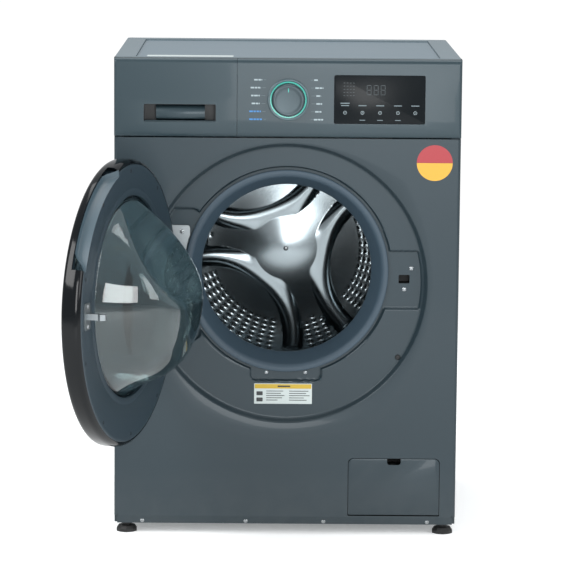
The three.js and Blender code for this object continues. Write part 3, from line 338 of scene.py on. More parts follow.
dusty.links.new(blend.outputs["Result"], put.inputs["Colour"])
dusty.links.new(mask, put.inputs["Mask"])
print("group", dusty.name)

# %% [markdown]
# The third is relief: the orange peel of baked paint, the pebble of a moulding or the drag lines
# of brushed metal. Stretching the place before the noise is what turns pebbles into lines.

# %% Shared effect: fine relief
relief, get, put = new_group(
    "fine_relief",
    [("Place", VECTOR, (0, 0, 0)), ("Stretch", VECTOR, (1, 1, 1)), ("Scale", NUMBER, 600.0),
     ("Coarse", NUMBER, 0.3)],
    [("Height", NUMBER)])
pull = relief.nodes.new("ShaderNodeVectorMath")
pull.operation = "MULTIPLY"
relief.links.new(get.outputs["Place"], pull.inputs[0])
relief.links.new(get.outputs["Stretch"], pull.inputs[1])
small = noise(relief, get.outputs["Scale"], 3)
large = noise(relief, math_node(relief, "MULTIPLY", get.outputs["Scale"], 0.12), 2)
for node in (small, large):
    relief.links.new(pull.outputs[0], node.inputs["Vector"])
height = math_node(relief, "ADD", small.outputs["Fac"],
                   math_node(relief, "MULTIPLY", large.outputs["Fac"], get.outputs["Coarse"]))
relief.links.new(height, put.inputs["Height"])
print("group", relief.name)

# %% [markdown]
# One recipe mixes a finish from these effects. The shader stays in the material, and numbers that
# are the same all over the surface are set on it directly.

# %% A recipe for finishes
def linear(code):
    parts = [int(code[i:i + 2], 16) / 255 for i in (0, 2, 4)]
    return tuple(c / 12.92 if c <= 0.04045 else ((c + 0.055) / 1.055) ** 2.4 for c in parts) + (1,)


def finish(name, colour, roughness, metal=0.0, coat=0.0, tint=0.1, spread=0.08, cloud=6.0,
           grain=600.0, bump=0.03, stretch=(1, 1, 1), dust=0.25, glow=0.0, shine=0.5):
    made = bpy.data.materials.new(name)
    made.use_nodes = True
    tree = made.node_tree
    shader = tree.nodes["Principled BSDF"]
    place = tree.nodes.new("ShaderNodeTexCoord").outputs["Object"]
    groups = []
    for group in (uneven, dusty, relief):
        node = tree.nodes.new("ShaderNodeGroup")
        node.node_tree = group
        tree.links.new(place, node.inputs["Place"])
        groups.append(node)
    a, b, c = groups
    a.inputs["Colour"].default_value = linear(colour)
    a.inputs["Scale"].default_value = cloud
    a.inputs["Tint"].default_value = tint
    a.inputs["Roughness"].default_value = roughness
    a.inputs["Spread"].default_value = spread
    b.inputs["Amount"].default_value = dust
    c.inputs["Stretch"].default_value = stretch
    c.inputs["Scale"].default_value = grain
    tree.links.new(a.outputs["Colour"], b.inputs["Colour"])
    tree.links.new(b.outputs["Colour"], shader.inputs["Base Color"])
    tree.links.new(math_node(tree, "ADD", a.outputs["Roughness"], b.outputs["Mask"]),
                   shader.inputs["Roughness"])
    lift = tree.nodes.new("ShaderNodeBump")
    lift.inputs["Strength"].default_value = bump
    lift.inputs["Distance"].default_value = 0.001
    tree.links.new(c.outputs["Height"], lift.inputs["Height"])
    tree.links.new(lift.outputs["Normal"], shader.inputs["Normal"])
    shader.inputs["Metallic"].default_value = metal
    shader.inputs["Coat Weight"].default_value = coat
    shader.inputs["Coat Roughness"].default_value = 0.05
    shader.inputs["Specular IOR Level"].default_value = shine
    if glow:
        tree.links.new(a.outputs["Colour"], shader.inputs["Emission Color"])
        shader.inputs["Emission Strength"].default_value = glow
    return made


# %% [markdown]
# The body is steel sheet with a baked metallic enamel, a dark grey green. The fascia is a moulding
# painted to match. Black parts with a wet look are simply very smooth and reflect little.

# %% Finishes of this machine
PAINT = finish("enamel_grey", "232f35", 0.36, metal=0.2, coat=0.1, tint=0.12, grain=900, bump=0.05,
               dust=0.06, shine=0.3)
FASCIA = finish("fascia_grey", "27353b", 0.36, metal=0.2, coat=0.08, grain=1200, bump=0.03,
                shine=0.3)
# A near black: painted shade in the finger recess and behind the drawer front, and dark print on the notice.
SHADE_AND_PRINT_DARK = finish("painted_shade_and_print_grey", "11171a", 0.5, grain=800)
LAMINATE = finish("worktop_edge_grey", "55636a", 0.42, coat=0.0, tint=0.08, grain=500, bump=0.05,
                  shine=0.4)
BOARD = finish("worktop_board_grey", "586770", 0.42, coat=0.0, tint=0.12, grain=260, bump=0.05,
               stretch=(1, 0.15, 1), shine=0.3)
BLACK_GLASS = finish("black_gloss", "06090c", 0.1, tint=0.3, spread=0.05, grain=90, bump=0.003,
                     dust=0.05, shine=0.2)
WINDOW_BLACK = finish("window_black", "0b1013", 0.24, tint=0.3, spread=0.05, grain=90, bump=0.003,
                      dust=0.0, shine=0.12)
SILVER = finish("satin_silver", "3f4d52", 0.34, metal=0.6, tint=0.08, grain=700, bump=0.05,
                stretch=(1, 1, 0.05))
KNOB_FACE = finish("turned_silver", "333f44", 0.34, metal=0.5, tint=0.5, cloud=22, grain=500,
                   bump=0.08, stretch=(1, 1, 0.04))
TEAL = finish("teal_ring", "2a9a8c", 0.3, coat=0.3, glow=0.2, tint=0.15)
RUBBER = finish("gasket_grey", "2f3e49", 0.5, tint=0.18, cloud=9, grain=500, bump=0.08, dust=0.0,
                shine=0.35)
STAINLESS = finish("polished_steel", "828b8f", 0.19, metal=1.0, tint=0.14, spread=0.1, cloud=8,
                   grain=420, bump=0.03, stretch=(1, 0.1, 1), dust=0.0)
STEEL = finish("bright_steel", "9ea3a6", 0.28, metal=1.0, tint=0.15, cloud=40, grain=900, bump=0.06)
ZINC = finish("zinc_plate", "8d9396", 0.38, metal=1.0, tint=0.3, spread=0.2, cloud=45, grain=900,
              bump=0.06)
MOTOR = finish("motor_housing_steel", "6f7477", 0.45, metal=0.9, tint=0.3, cloud=30, bump=0.1)
CAST = finish("cast_alloy", "9b9d9e", 0.5, metal=1.0, tint=0.25, cloud=30, grain=500, bump=0.35)
POLYMER = finish("natural_polymer", "9da19e", 0.5, tint=0.1, cloud=12, grain=500, bump=0.1)
BLUE = finish("blue_cap_plastic", "2a5f9e", 0.4, tint=0.1, bump=0.08)
BLACK = finish("black_moulding", "0e1113", 0.48, tint=0.3, grain=700, bump=0.15, shine=0.3)
FOOT = finish("foot_black_plastic", "0d1012", 0.45, tint=0.3, grain=500, bump=0.2, dust=0.05,
              shine=0.25)
BELT = finish("belt_rubber", "191a1b", 0.7, tint=0.25, grain=900, bump=0.3)
CONCRETE = finish("cast_concrete", "8d8a83", 0.9, tint=0.5, spread=0.1, cloud=40, grain=300,
                  bump=0.9)
LIFTER = finish("lifter_moulding", "5b6469", 0.38, tint=0.12, grain=600, bump=0.08)
RING = finish("door_ring_blue_grey", "222f37", 0.42, tint=0.15, grain=800, bump=0.08, shine=0.4)
RECESS = finish("door_recess_grey", "364750", 0.45, tint=0.12, grain=800, bump=0.08)
CIRCUIT = finish("circuit_green", "1f5a3a", 0.4, coat=0.4, tint=0.5, cloud=90, grain=900, bump=0.2)
PRINT = finish("pale_print", "87959a", 0.5, tint=0.06, dust=0.0)
PRINT_DIM = finish("dim_print", "5e6c71", 0.5, tint=0.06, dust=0.0)
PRINT_BLUE = finish("blue_print", "2c6ea8", 0.5, tint=0.06, dust=0.0)
LED = finish("display_segment", "232d31", 0.3, tint=0.2, dust=0.0)
PAPER = finish("label_white", "a9b2b1", 0.55, tint=0.05, grain=700, bump=0.05)
YELLOW = finish("label_yellow", "a98d1a", 0.5, tint=0.08, bump=0.05)
RED = finish("badge_red", "8a0e1c", 0.4, tint=0.08, bump=0.05)
AMBER = finish("badge_amber", "b98a12", 0.4, tint=0.08, bump=0.05)

# %% [markdown]
# Clear parts let light through. The bowl of the door is thick soda glass, faintly green at its
# edge, and the window cover in front of it is smoked plastic. Plain numbers set both.

# %% Clear finishes
def clear(name, colour, roughness, ior, bump):
    made = finish(name, colour, roughness, tint=0.04, spread=0.02, grain=60, bump=bump, dust=0.0)
    shader = made.node_tree.nodes["Principled BSDF"]
    shader.inputs["Metallic"].default_value = 0.0
    shader.inputs["Transmission Weight"].default_value = 1.0
    shader.inputs["IOR"].default_value = ior
    return made


BOWL = clear("bowl_soda_glass", "cfe1e1", 0.02, 1.48, 0.01)
SMOKED = clear("smoked_window", "39464c", 0.03, 1.45, 0.005)

DRESS = {
    "painted_body": PAINT, "zinc": ZINC, "motor_steel": MOTOR, "laminate": LAMINATE, "board": BOARD,
    "fascia": FASCIA, "black_glass": BLACK_GLASS, "silver": SILVER, "circuit": CIRCUIT,
    "polymer": POLYMER, "blue_cap": BLUE, "black_plastic": BLACK, "foot_black": FOOT,
    "gasket_rubber": RUBBER, "belt_rubber": BELT, "concrete": CONCRETE, "stainless": STAINLESS,
    "lifter_grey": LIFTER, "steel": STEEL, "cast_aluminium": CAST, "door_plastic": RING,
    "window_plastic": SMOKED, "bowl_glass": BOWL,
}
for name, thing in nodes.items():
    for slot in thing.material_slots:
        slot.material = DRESS[slot.material.name.split(".")[0]]
print("dressed", len(nodes), "nodes from", len(DRESS), "finishes")

# %% [markdown]
# ## Camera and light
# A machine like this is shown from straight ahead with a long lens, a little above its middle, so
# its sides stay parallel. The camera's direction is written as a pitch, a small turn and a small
# tilt, and its axes are worked out from those.

# %% Camera
PITCH, TURN, TILT = (math.radians(v) for v in (8.456, 0.323, 0.469))
ahead = Vector((math.sin(TURN) * math.cos(PITCH), math.cos(TURN) * math.cos(PITCH), -math.sin(PITCH)))
level = Vector((math.cos(TURN), -math.sin(TURN), 0))
upright = level.cross(ahead)
right = level * math.cos(TILT) + upright * math.sin(TILT)
up = upright * math.cos(TILT) - level * math.sin(TILT)
seen_by = bpy.data.cameras.new("camera")
seen_by.lens = 192.4
seen_by.sensor_width = 36
seen_by.clip_end = 100
camera = bpy.data.objects.new("camera", seen_by)
axes = Matrix((right, up, -ahead)).transposed().to_4x4()
camera.matrix_world = Matrix.Translation(at(-32.1, -5227.5, 1219.6)) @ axes
show(camera)
bpy.context.scene.camera = camera
print("camera at", [round(v, 3) for v in camera.location])

# %% [markdown]
# The light is a studio's: one big soft panel to the left and above, a weaker one to the right, a
# panel low in front that reaches into the drum, and an even pale surround. Large panels give the
# long calm reflections that show off enamel and glass. The surround is white where it is looked at
# directly and a little dimmer where it only lights things.

# %% Lights and floor
def panel_light(name, place, look, wide, high, power):
    lamp = bpy.data.lights.new(name, "AREA")
    lamp.shape = "RECTANGLE"
    lamp.size, lamp.size_y, lamp.energy = wide, high, power
    made = bpy.data.objects.new(name, lamp)
    made.location = at(*place)
    made.rotation_euler = (at(*look) - at(*place)).to_track_quat("-Z", "Y").to_euler()
    show(made)


panel_light("key_panel", (-2300, -2100, 2300), (0, 100, 450), 1.8, 1.8, 95)
panel_light("fill_panel", (2400, -1800, 1500), (0, 100, 450), 1.4, 1.8, 34)
panel_light("drum_strip", (300, -2600, 900), (0, 200, 450), 0.9, 0.9, 26)
panel_light("top_panel", (0, 300, 2900), (0, 250, 800), 2.2, 1.6, 40)

surround = bpy.data.worlds.new("surround")
surround.use_nodes = True
tree = surround.node_tree
pale = tree.nodes["Background"]
pale.inputs["Color"].default_value = (0.93, 0.95, 0.97, 1)
pale.inputs["Strength"].default_value = 0.75
white = tree.nodes.new("ShaderNodeBackground")
white.inputs["Color"].default_value = (1, 1, 1, 1)
white.inputs["Strength"].default_value = 1.05
path = tree.nodes.new("ShaderNodeLightPath")
choose = tree.nodes.new("ShaderNodeMixShader")
tree.links.new(path.outputs["Is Camera Ray"], choose.inputs[0])
tree.links.new(pale.outputs[0], choose.inputs[1])
tree.links.new(white.outputs[0], choose.inputs[2])
tree.links.new(choose.outputs[0], tree.nodes["World Output"].inputs["Surface"])
bpy.context.scene.world = surround
bpy.context.scene.view_settings.view_transform = "Standard"

FLOOR_SIDE, FLOOR_FRONT, FLOOR_BACK = 4000, -7000, 2200
sheet = bpy.data.meshes.new("floor")
corners = [at(-FLOOR_SIDE, FLOOR_FRONT, 0), at(FLOOR_SIDE, FLOOR_FRONT, 0),
           at(FLOOR_SIDE, FLOOR_BACK, 0), at(-FLOOR_SIDE, FLOOR_BACK, 0)]
sheet.from_pydata(corners, [], [(0, 1, 2, 3)])
sheet.materials.append(finish("studio_floor", "fbfcfc", 0.7, tint=0.01, bump=0.0, dust=0.0, glow=0.2))
floor = bpy.data.objects.new("floor", sheet)
show(floor)
floor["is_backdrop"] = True

# %% [markdown]
# ## The pressed front
# The front is one steel sheet. A press gives it the round dish that the door closes into, deeper
# pads for the hinge, the lock and the sill, and a collar round the opening. Real pressings have
# no sharp corners, so instead of cutting steps the sheet is drawn as one surface whose depth is a
# smooth function of place, on rays that leave the opening and end at the sheet's edge.

# %% Depth of the pressing
def box_distance(x, z, x0, x1, z0, z1, r):
    dx = abs(x - (x0 + x1) / 2) - (x1 - x0) / 2 + r
    dz = abs(z - (z0 + z1) / 2) - (z1 - z0) / 2 + r
    return math.hypot(max(dx, 0), max(dz, 0)) + min(max(dx, dz), 0) - r


SILL = DRUM_Z - OPENING
PAD_IN = OPENING - 22
HINGE_HALF = DOOR_R - 140
DISH_DEPTH, DISH_WALL = 10, 9
PAD_DEPTH = 5


def press_depth(x, z):
    from_door = math.hypot(x, z - DOOR_Z)
    depth = DISH_DEPTH * soft((DISH_R - from_door) / DISH_WALL)
    hinge = box_distance(x, z, -DISH_R, -PAD_IN, DOOR_Z - HINGE_HALF - 1, DOOR_Z + HINGE_HALF + 29, 14)
    lock = box_distance(x, z, PAD_IN, DISH_R, DOOR_Z - 43, DOOR_Z + 57, 14)
    sides = max(min(hinge, lock), from_door - DISH_R + 12)
    notch = box_distance(x, z, -61, 61, SILL - 20, SILL + 31, 10)
    collar = math.hypot(x, z - DRUM_Z) - OPENING - 10
    return depth + PAD_DEPTH * soft((2.2 - min(sides, notch, collar)) / 3)


# %% The sheet
def circle_hit(dz, radius):
    cz = DRUM_Z - DOOR_Z
    along = dz * cz
    return -along + math.sqrt(along * along - cz * cz + radius * radius)


BEND = 5
FRONT_SIDE = HALF - BEND
FRONT_LOW = 32
FRONT_TOP = TOP - 138
RAYS = 720
rows = []
for i in range(RAYS):
    a = math.tau * i / RAYS
    dx, dz = math.cos(a), math.sin(a)
    reach = [FRONT_SIDE / abs(dx) if abs(dx) > 1e-9 else 1e9]
    if abs(dz) > 1e-9:
        reach.append((FRONT_TOP - DRUM_Z if dz > 0 else DRUM_Z - FRONT_LOW) / abs(dz))
    end = min(reach)
    inner, outer = circle_hit(dz, DISH_R - DISH_WALL), circle_hit(dz, DISH_R)
    radii = [OPENING + 2 + (inner - OPENING - 2) * k / 34 for k in range(34)]
    radii += [inner + (outer - inner) * k / 7 for k in range(7)]
    radii += [outer + (end - outer) * k / 5 for k in range(6)]
    ray = [at(OPENING * dx, 26, DRUM_Z + OPENING * dz), at(OPENING * dx, 17, DRUM_Z + OPENING * dz),
           at((OPENING + 0.6) * dx, 15.6, DRUM_Z + (OPENING + 0.6) * dz)]
    for r in radii:
        x, z = r * dx, DRUM_Z + r * dz
        ray.append(at(x, press_depth(x, z), z))
    rows.append(ray)
rows.append(rows[0])
main = strip(rows)
turns = [math.radians(t) for t in range(0, 91, 15)]
bend = [(FRONT_SIDE + BEND * math.sin(t), BEND - BEND * math.cos(t)) for t in turns]
bend.append((HALF, 12))
sides = []
for way in (-1, 1):
    sides.append(strip([[at(way * x, y, z) for x, y in bend] for z in (FRONT_LOW, FRONT_TOP)]))
foot = panel_low.z * 1000
lip = [(FRONT_LOW, 0), (28, 0.7), (22, 2.6), (foot, 4), (foot, 5.2)]
skirt = strip([[at(x, y, z) for z, y in lip] for x in (-FRONT_SIDE, FRONT_SIDE)])
front = piece("front_pressing", *joined(main, *sides, skirt), "cabinet", PAINT, "painted_body")
flap_low, flap_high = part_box("service_flap")
EAR = 2
FLAP = [(flap_low.x - MIDDLE) * 1000 + EAR, (flap_high.x - MIDDLE) * 1000 - EAR,
        flap_low.z * 1000, flap_high.z * 1000]
LOCK = (DOOR_R - 35.5, DRUM_Z - 13)
FLAP_HOLE = (FLAP[0] - 0.8, FLAP[1] + 0.8, FLAP[2] - 1.9, FLAP[3] + 0.8)
thicken(front, 1.2)
cut_away(front,
         plate(FLAP_HOLE, -3, 8, r=9, bevel=0, low_r=2),
         plate((LOCK[0] - 9.5, LOCK[0] + 9.5, LOCK[1] - 7.5, LOCK[1] + 7.5), -3, 24, r=2, bevel=0))
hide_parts("front_panel")
print("front:", len(front.data.polygons), "faces, flap", [round(v, 1) for v in FLAP])

# %% [markdown]
# ## Control panel and drawer front
# Both are mouldings with one section: flat face, a bevel turned under, and a soft roll over the
# top. Sweeping a smooth section across and closing the outer end with the cabinet's corner radius
# gives that. The window, the knob's seat and the finger recess are then cut through it. A flank
# closes each outer end.

# %% The swept fascia
PANEL_LOW, PANEL_HIGH = TOP - 136, TOP - 0.6
PANEL_FACE = -6
CORNER = 5
SEAM_GAP = 0.3


def fascia_section():
    low, high = PANEL_LOW, PANEL_HIGH
    section = [(30, low), (-1, low)]
    section += [(-1 - 5 * math.sin(t), low + 10 * (1 - math.cos(t))) for t in (0.3, 0.7, 1.1, 1.57)]
    section += [(PANEL_FACE, z) for z in (low + 30, low + 70, high - 10)]
    for k in range(1, 9):
        t = math.radians(90 * k / 8)
        section.append((PANEL_FACE + 9 * (1 - math.cos(t)), high - 9 + 9 * math.sin(t)))
    return section + [(13, high)]


def fascia(name, x0, x1, corner, body):
    steps = [x0, x0 + 1] if corner > 0 else []
    across = CORNER if corner > 0 else -CORNER
    end = x1 if corner > 0 else x0
    round_end = [end - across + across * math.sin(math.radians(t)) for t in range(0, 91, 15)]
    inside = [x1 - 1, x1] if corner < 0 else []
    columns = sorted(set([round(v, 4) for v in steps + inside + round_end]))
    grid = []
    for x in columns:
        over = max(0, abs(x - end + across)) if (x - (end - across)) * across > 0 else 0
        hold = PANEL_FACE + CORNER - math.sqrt(max(0, CORNER ** 2 - over * over))
        grid.append([at(x, max(y, hold), z) for y, z in fascia_section()])
    return piece(name, *strip(grid), body, FASCIA, "fascia", sharp=50)


def flank(name, end, deep, body):
    inward = -2.2 if end > 0 else 2.2
    side = [(max(y, -1), z) for y, z in fascia_section() if y < deep]
    side += [(deep, PANEL_HIGH), (deep, PANEL_LOW)]
    points, faces = strip([[at(x, y, z) for y, z in side] for x in (end, end + inward)], closed=True)
    count = len(side)
    faces += [tuple(range(count)), tuple(range(count, 2 * count))]
    return piece(name, points, faces, body, FASCIA, "fascia", sharp=30)


WINDOW = (HALF - 220, HALF - 63, TOP - 112, TOP - 28)
panel = fascia("control_fascia", SEAM + SEAM_GAP, HALF, 1, "cabinet")
thicken(panel, 2.4, 50)
cut_away(panel, plate(WINDOW, -12, 6, r=3, bevel=0))
seat, seat_faces = turned([(33.6, -12), (33.6, 6)], *KNOB, 64)
cut_away(panel, (seat, seat_faces + [tuple(range(64)), tuple(range(64, 128))]))
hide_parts("control_panel")
flank("control_flank", HALF, 29, "cabinet")
flank("drawer_flank", -HALF, 21, "drawer")

GRIP = (-HALF + 51, SEAM - 36.5, TOP - 110.4, TOP - 80)
drawer_face = fascia("drawer_fascia", -HALF, SEAM - SEAM_GAP, -1, "drawer")
thicken(drawer_face, 2.4, 50)
cut_away(drawer_face, plate(GRIP, -12, 6, r=3, bevel=0))
print("fascia:", len(panel.data.polygons), "and", len(drawer_face.data.polygons), "faces")

# %% [markdown]
# The finger recess is a box behind the drawer front, lined in near black as painted shade, with a
# paler curved tongue in the middle that fingers pull on. The box is a plate turned inside out and
# the tongue is a bowed sheet, lowest in front.

# %% The finger recess
x0, x1, z0, z1 = GRIP
back = [(x0, z0), (x1, z0), (x1, z1), (x0, z1)]
box = [[at(x, y, z) for x, z in back] for y in (-4, 19)]
inside = strip(box, closed=True)
inside = (inside[0], inside[1] + [(4, 5, 6, 7)])
# The lining's near black is painted shade.
cave = piece("grip_recess_lining", *inside, "drawer", SHADE_AND_PRINT_DARK, "fascia", sharp=30)
thicken(cave, 0.8)
tongue = []
for k in range(17):
    x = x0 + 21 + (x1 - x0 - 40) * k / 16
    bow = 3.2 * (1 - ((k - 8) / 8) ** 2)
    tongue.append([at(x, 16, z1 - 1), at(x, 9 - bow, z1 - 3), at(x, 3.5 - bow, z1 - 8),
                   at(x, 2 - bow, z0 + 12), at(x, 4.5 - bow, z0 + 5), at(x, 16, z0 + 1)])
handle = piece("grip_tongue", *strip(tongue), "drawer", FASCIA, "fascia", sharp=60)
thicken(handle, 1.2)
lower_edge = plate((x0 + 1, x1 - 1, z0 + 0.2, z0 + 2.0), -5.6, 6, r=0.8, bevel=0.6)
piece("grip_lower_edge", *lower_edge, "drawer", FASCIA, "fascia")
# The plate behind the drawer front is near black, painted shade.
back_wall = plate((-HALF + 4, SEAM - 3, TOP - 132, TOP - 34), 19.2, 21.6, r=2, bevel=0.4)
piece("drawer_front_back", *back_wall, "drawer", SHADE_AND_PRINT_DARK, "fascia")
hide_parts("drawer_front")
print("grip:", [round(v, 1) for v in GRIP])

# %% [markdown]
# ## Knob
# A turned grey knob stands in a satin ring with a band of coloured light between them. All three
# are turned shapes. The grip's fine teeth come from moving every third point of its side in a
# little, which is how a knurl is cut.

# %% Bezel, light ring and knob
bezel = [(5, 0), (33.1, 0), (33.1, -6.4), (36.0, -6.4), (36.2, -7), (36.2, -8), (35.6, -8.6),
         (34.6, -8.8), (32.4, -8.8), (31.6, -8.5), (31.4, -8.0), (29.2, -7.9), (29, -7.5), (29, -2),
         (5, -2), (5, 0)]
ring = piece("knob_ring", *turned(bezel, *KNOB, 128), "cabinet", SILVER, "silver")
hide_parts("knob_bezel")
band = [(28.9, -7.6), (29.1, -8.3), (31.5, -8.5), (31.9, -7.8)]
piece("knob_light_band", *turned(band, *KNOB, 128), "cabinet", TEAL, "silver")
profile = [(28.3, -2.6), (28.3, -18.8), (27.9, -20.6), (27.0, -22.2), (25.8, -23.0), (24.6, -23.3),
           (22.8, -23.1), (21.4, -22.7), (18, -22.5), (9, -22.3), (0.01, -22.2)]
knob_rows = []
for i in range(180):
    a = math.tau * i / 180
    knob_rows.append([])
    for r, y in profile:
        tooth = 0.35 if (i % 3 == 0 and -20 < y < -3) else 0
        knob_rows[-1].append(at(KNOB[0] + (r - tooth) * math.cos(a), y, KNOB[1] + (r - tooth) * math.sin(a)))
knob_rows.append(knob_rows[0])
stem = turned([(28.3, -2.6), (4.6, -2.6), (4.6, 10.6), (0.01, 10.6)], *KNOB, 48)
grip = piece("knob_grip", *joined(strip(knob_rows), stem), "programme_knob", KNOB_FACE, "silver")
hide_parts("knob")
pointer = plate((KNOB[0] - 0.7, KNOB[0] + 0.7, KNOB[1] + 14, KNOB[1] + 21), -23.05, -22.4, r=0.6)
piece("knob_pointer", *pointer, "programme_knob", TEAL, "silver")
print("knob faces:", len(grip.data.polygons))

# %% [markdown]
# ## Marks on the fascia
# The programme names are short printed lines on both sides of the knob, each with a thin leader.
# Here they are plain bars of the same length and height, because a general part carries no words.

# %% Programme marks
LEFT_LENGTHS = (15, 19, 16, 15, 21, 23)
RIGHT_LENGTHS = (8, 15, 9, 11, 12, 17)
LABEL_PITCH = 13.6
marks, leaders, blue_marks = [], [], []
for i in range(6):
    z = KNOB[1] + LABEL_PITCH * (2.5 - i)
    bow = 5 * (1 - abs(i - 2.5) / 2.5)
    for way, long in ((-1, LEFT_LENGTHS[i]), (1, RIGHT_LENGTHS[i])):
        inner_x = KNOB[0] + way * (44 + bow)
        a, b = sorted((inner_x, inner_x + way * long))
        words, gap = [], a
        while gap < b - 1:
            step = min(5.2 if int(gap) % 2 else 7.4, b - gap)
            words.append((gap, gap + step - 1.0))
            gap += step
        for w in words:
            group = blue_marks if (way < 0 and i >= 4) else marks
            group.append(plate((*w, z - 1.3, z + 1.3), -6.12, -5.9, r=0.5, bevel=0.03, steps=2))
        lead = sorted((KNOB[0] + way * (38.4 + 0.3 * bow), inner_x - way * 1.5))
        leaders.append(plate((*lead, z - 0.2, z + 0.2), -6.1, -5.9, r=0.1, bevel=0.02, steps=1))
piece("programme_marks", *joined(*marks), "cabinet", PRINT, "fascia")
piece("programme_marks_blue", *joined(*blue_marks), "cabinet", PRINT_BLUE, "fascia")
piece("programme_leaders", *joined(*leaders), "cabinet", PRINT_DIM, "fascia")
print("marks:", len(marks), "blue:", len(blue_marks))

# %% [markdown]
# ## Display window
# A smooth black window lies flush in the fascia. On it are dim segment columns and five touch
# keys, each a small icon under a tiny caption. The segments are a dim grey, so that they show only
# when looked for.

# %% Window and keys
def grown(box, by):
    return (box[0] - by, box[1] + by, box[2] - by, box[3] + by)


pane = joined(plate(grown(WINDOW, -0.4), PANEL_FACE, -0.2, r=2.6, bevel=0.4),
              plate(grown(WINDOW, 3), -2.6, 10.6, r=2, bevel=0.2))
window = piece("window_glass", *pane, "cabinet", WINDOW_BLACK, "black_glass")
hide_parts("display_window")


def tiny(x0, x1, z0, z1, r=0.4, face=-6.1):
    return plate((x0, x1, z0, z1), face, -5.95, r=r, bevel=0.02, steps=1)


BARS = ((0, 8, 0, 1.1), (0, 8, 8, 9.1), (0, 8, 16, 17.1), (0, 1.1, 1, 16), (7, 8.1, 1, 16))
KEY_PLACES = (98, 128, 158.3, 189, 218.7)
KEY_START = HALF - 299
DOT = [(2.4, -6.1), (3.0, -6.1), (3.0, -5.95), (2.4, -5.95), (2.4, -6.1)]
segments, captions, keys = [], [], []
for row in range(5):
    for column in range(4):
        x, z = WINDOW[0] + 16 + column * 5.4, WINDOW[3] - 14 - row * 5.4
        segments.append(tiny(x, x + 3.2, z, z + 1.1, 0.3, -6.08))
for digit in range(3):
    x, z = WINDOW[0] + 56 + digit * 12, WINDOW[3] - 34
    segments += [tiny(x + a, x + b, z + c, z + d, 0.3, -6.08) for a, b, c, d in BARS]
for k, place in enumerate(KEY_PLACES):
    x, z = place + KEY_START, TOP - 92.5
    keys.append(turned(DOT, x, z, 24))
    keys.append(tiny(x - 0.35, x + 0.35, z - 1.2, z + 1.4, 0.2))
    captions.append(tiny(x - 7, x + 7, z + 11.5, z + 13))
    if 0 < k < 4:
        captions.append(tiny(x - 5, x + 5, z - 13.4, z - 12.2))
captions.append(tiny(KEY_START + 90, KEY_START + 106, TOP - 77.2, TOP - 75.4, 0.5))
piece("display_segments", *joined(*segments), "cabinet", LED, "black_glass")
piece("key_icons", *joined(*keys), "cabinet", PRINT, "black_glass")
piece("key_captions", *joined(*captions), "cabinet", PRINT_DIM, "black_glass")
print("segments:", len(segments), "captions:", len(captions))

# %% [markdown]
# ## Gasket
# The grey rubber bellows seals the door to the tub. Its front lip grips the panel's collar, a
# rounded ridge runs inside it and a fold hangs towards the drum. It is a turned shape, so a smooth
# closed section spun about the drum's axis gives it.

# %% Gasket
def smooth_loop(points, rounds):
    for _ in range(rounds):
        cut = []
        for i, (r, y) in enumerate(points):
            r2, y2 = points[(i + 1) % len(points)]
            cut += [(r * near + r2 * (1 - near), y * near + y2 * (1 - near)) for near in (0.78, 0.22)]
        points = cut
    return points


section = [(5, 9), (-2, 8.5), (-7, 12), (-11, 20), (-22, 44), (-24.5, 50), (-22, 57), (2, 70),
           (2, 75), (6, 75), (6, 66.5), (-19, 54), (-20.5, 50.5), (-8, 28), (-4, 30), (7, 30),
           (7, 26.6), (-1, 26.6), (-1, 14.5), (5, 14.5)]
section = smooth_loop([(OPENING + r, y) for r, y in section], 2)
bellows = turned(section + section[:1], 0, DRUM_Z, 192)
seal = piece("door_gasket", *bellows, "cabinet", RUBBER, "gasket_rubber", sharp=80)
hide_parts("gasket")
print("gasket points in section:", len(section))

# %% [markdown]
# ## Drum
# The drum is thin stainless steel, polished inside. Its wall is pierced by hundreds of holes, its
# back is dished with three pressed ribs. A hole needs real edges to catch the light, so the wall is
# laid out in cells and each cell is built round its own hole, with a short lip turned outwards.

# %% Cells with holes
def pierced(place, us, vs, radius_u, radius_v, lip, skip, fine=1):
    points, faces = [], []
    around = [(math.cos(math.radians(t)), math.sin(math.radians(t))) for t in range(0, 360, 45)]
    for i in range(len(us) - 1):
        for j in range(len(vs) - 1):
            u, v = (us[i] + us[i + 1]) / 2, (vs[j] + vs[j + 1]) / 2
            hu, hv = (us[i + 1] - us[i]) / 2, (vs[j + 1] - vs[j]) / 2
            base = len(points)
            if skip(u, v) and fine > 1:
                across = [us[i] + 2 * hu * a / fine for a in range(fine + 1)]
                deep = [vs[j] + 2 * hv * b / fine for b in range(fine + 1)]
                some, quads = strip([[place(a, b, 0) for b in deep] for a in across], offset=base)
                points += some
                faces += quads
                continue
            for c, s in around:
                k = 1 / max(abs(c), abs(s))
                points.append(place(u + hu * c * k, v + hv * s * k, 0))
            if skip(u, v):
                faces.append(tuple(base + n for n in range(8)))
                continue
            for deep, grow in ((0, 1.25), (0.25, 1.0), (lip, 0.92)):
                for c, s in around:
                    points.append(place(u + radius_u(u, v) * c * grow, v + radius_v(u, v) * s * grow, deep))
            for level in range(3):
                for n in range(8):
                    m = (n + 1) % 8
                    a, b = base + level * 8, base + level * 8 + 8
                    faces.append((a + n, a + m, b + m, b + n))
    return points, faces


DRUM_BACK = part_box("drum_shell")[1].y * 1000 - FACE * 1000
DRUM_IN = DOOR_R - 3.2
DRUM_FRONT = 98
LIFTERS = (90, 330, 210)
WALL_HOLE, BACK_HOLE = 3.1, 2.1


def on_wall(turn, y, deep):
    a, r = math.radians(turn), DRUM_IN + deep
    return at(r * math.cos(a), y, DRUM_Z + r * math.sin(a))


def near_lifter(turn, y):
    return any(abs((turn - t + 180) % 360 - 180) < 9.5 for t in LIFTERS) and 96 < y < DRUM_BACK - 12


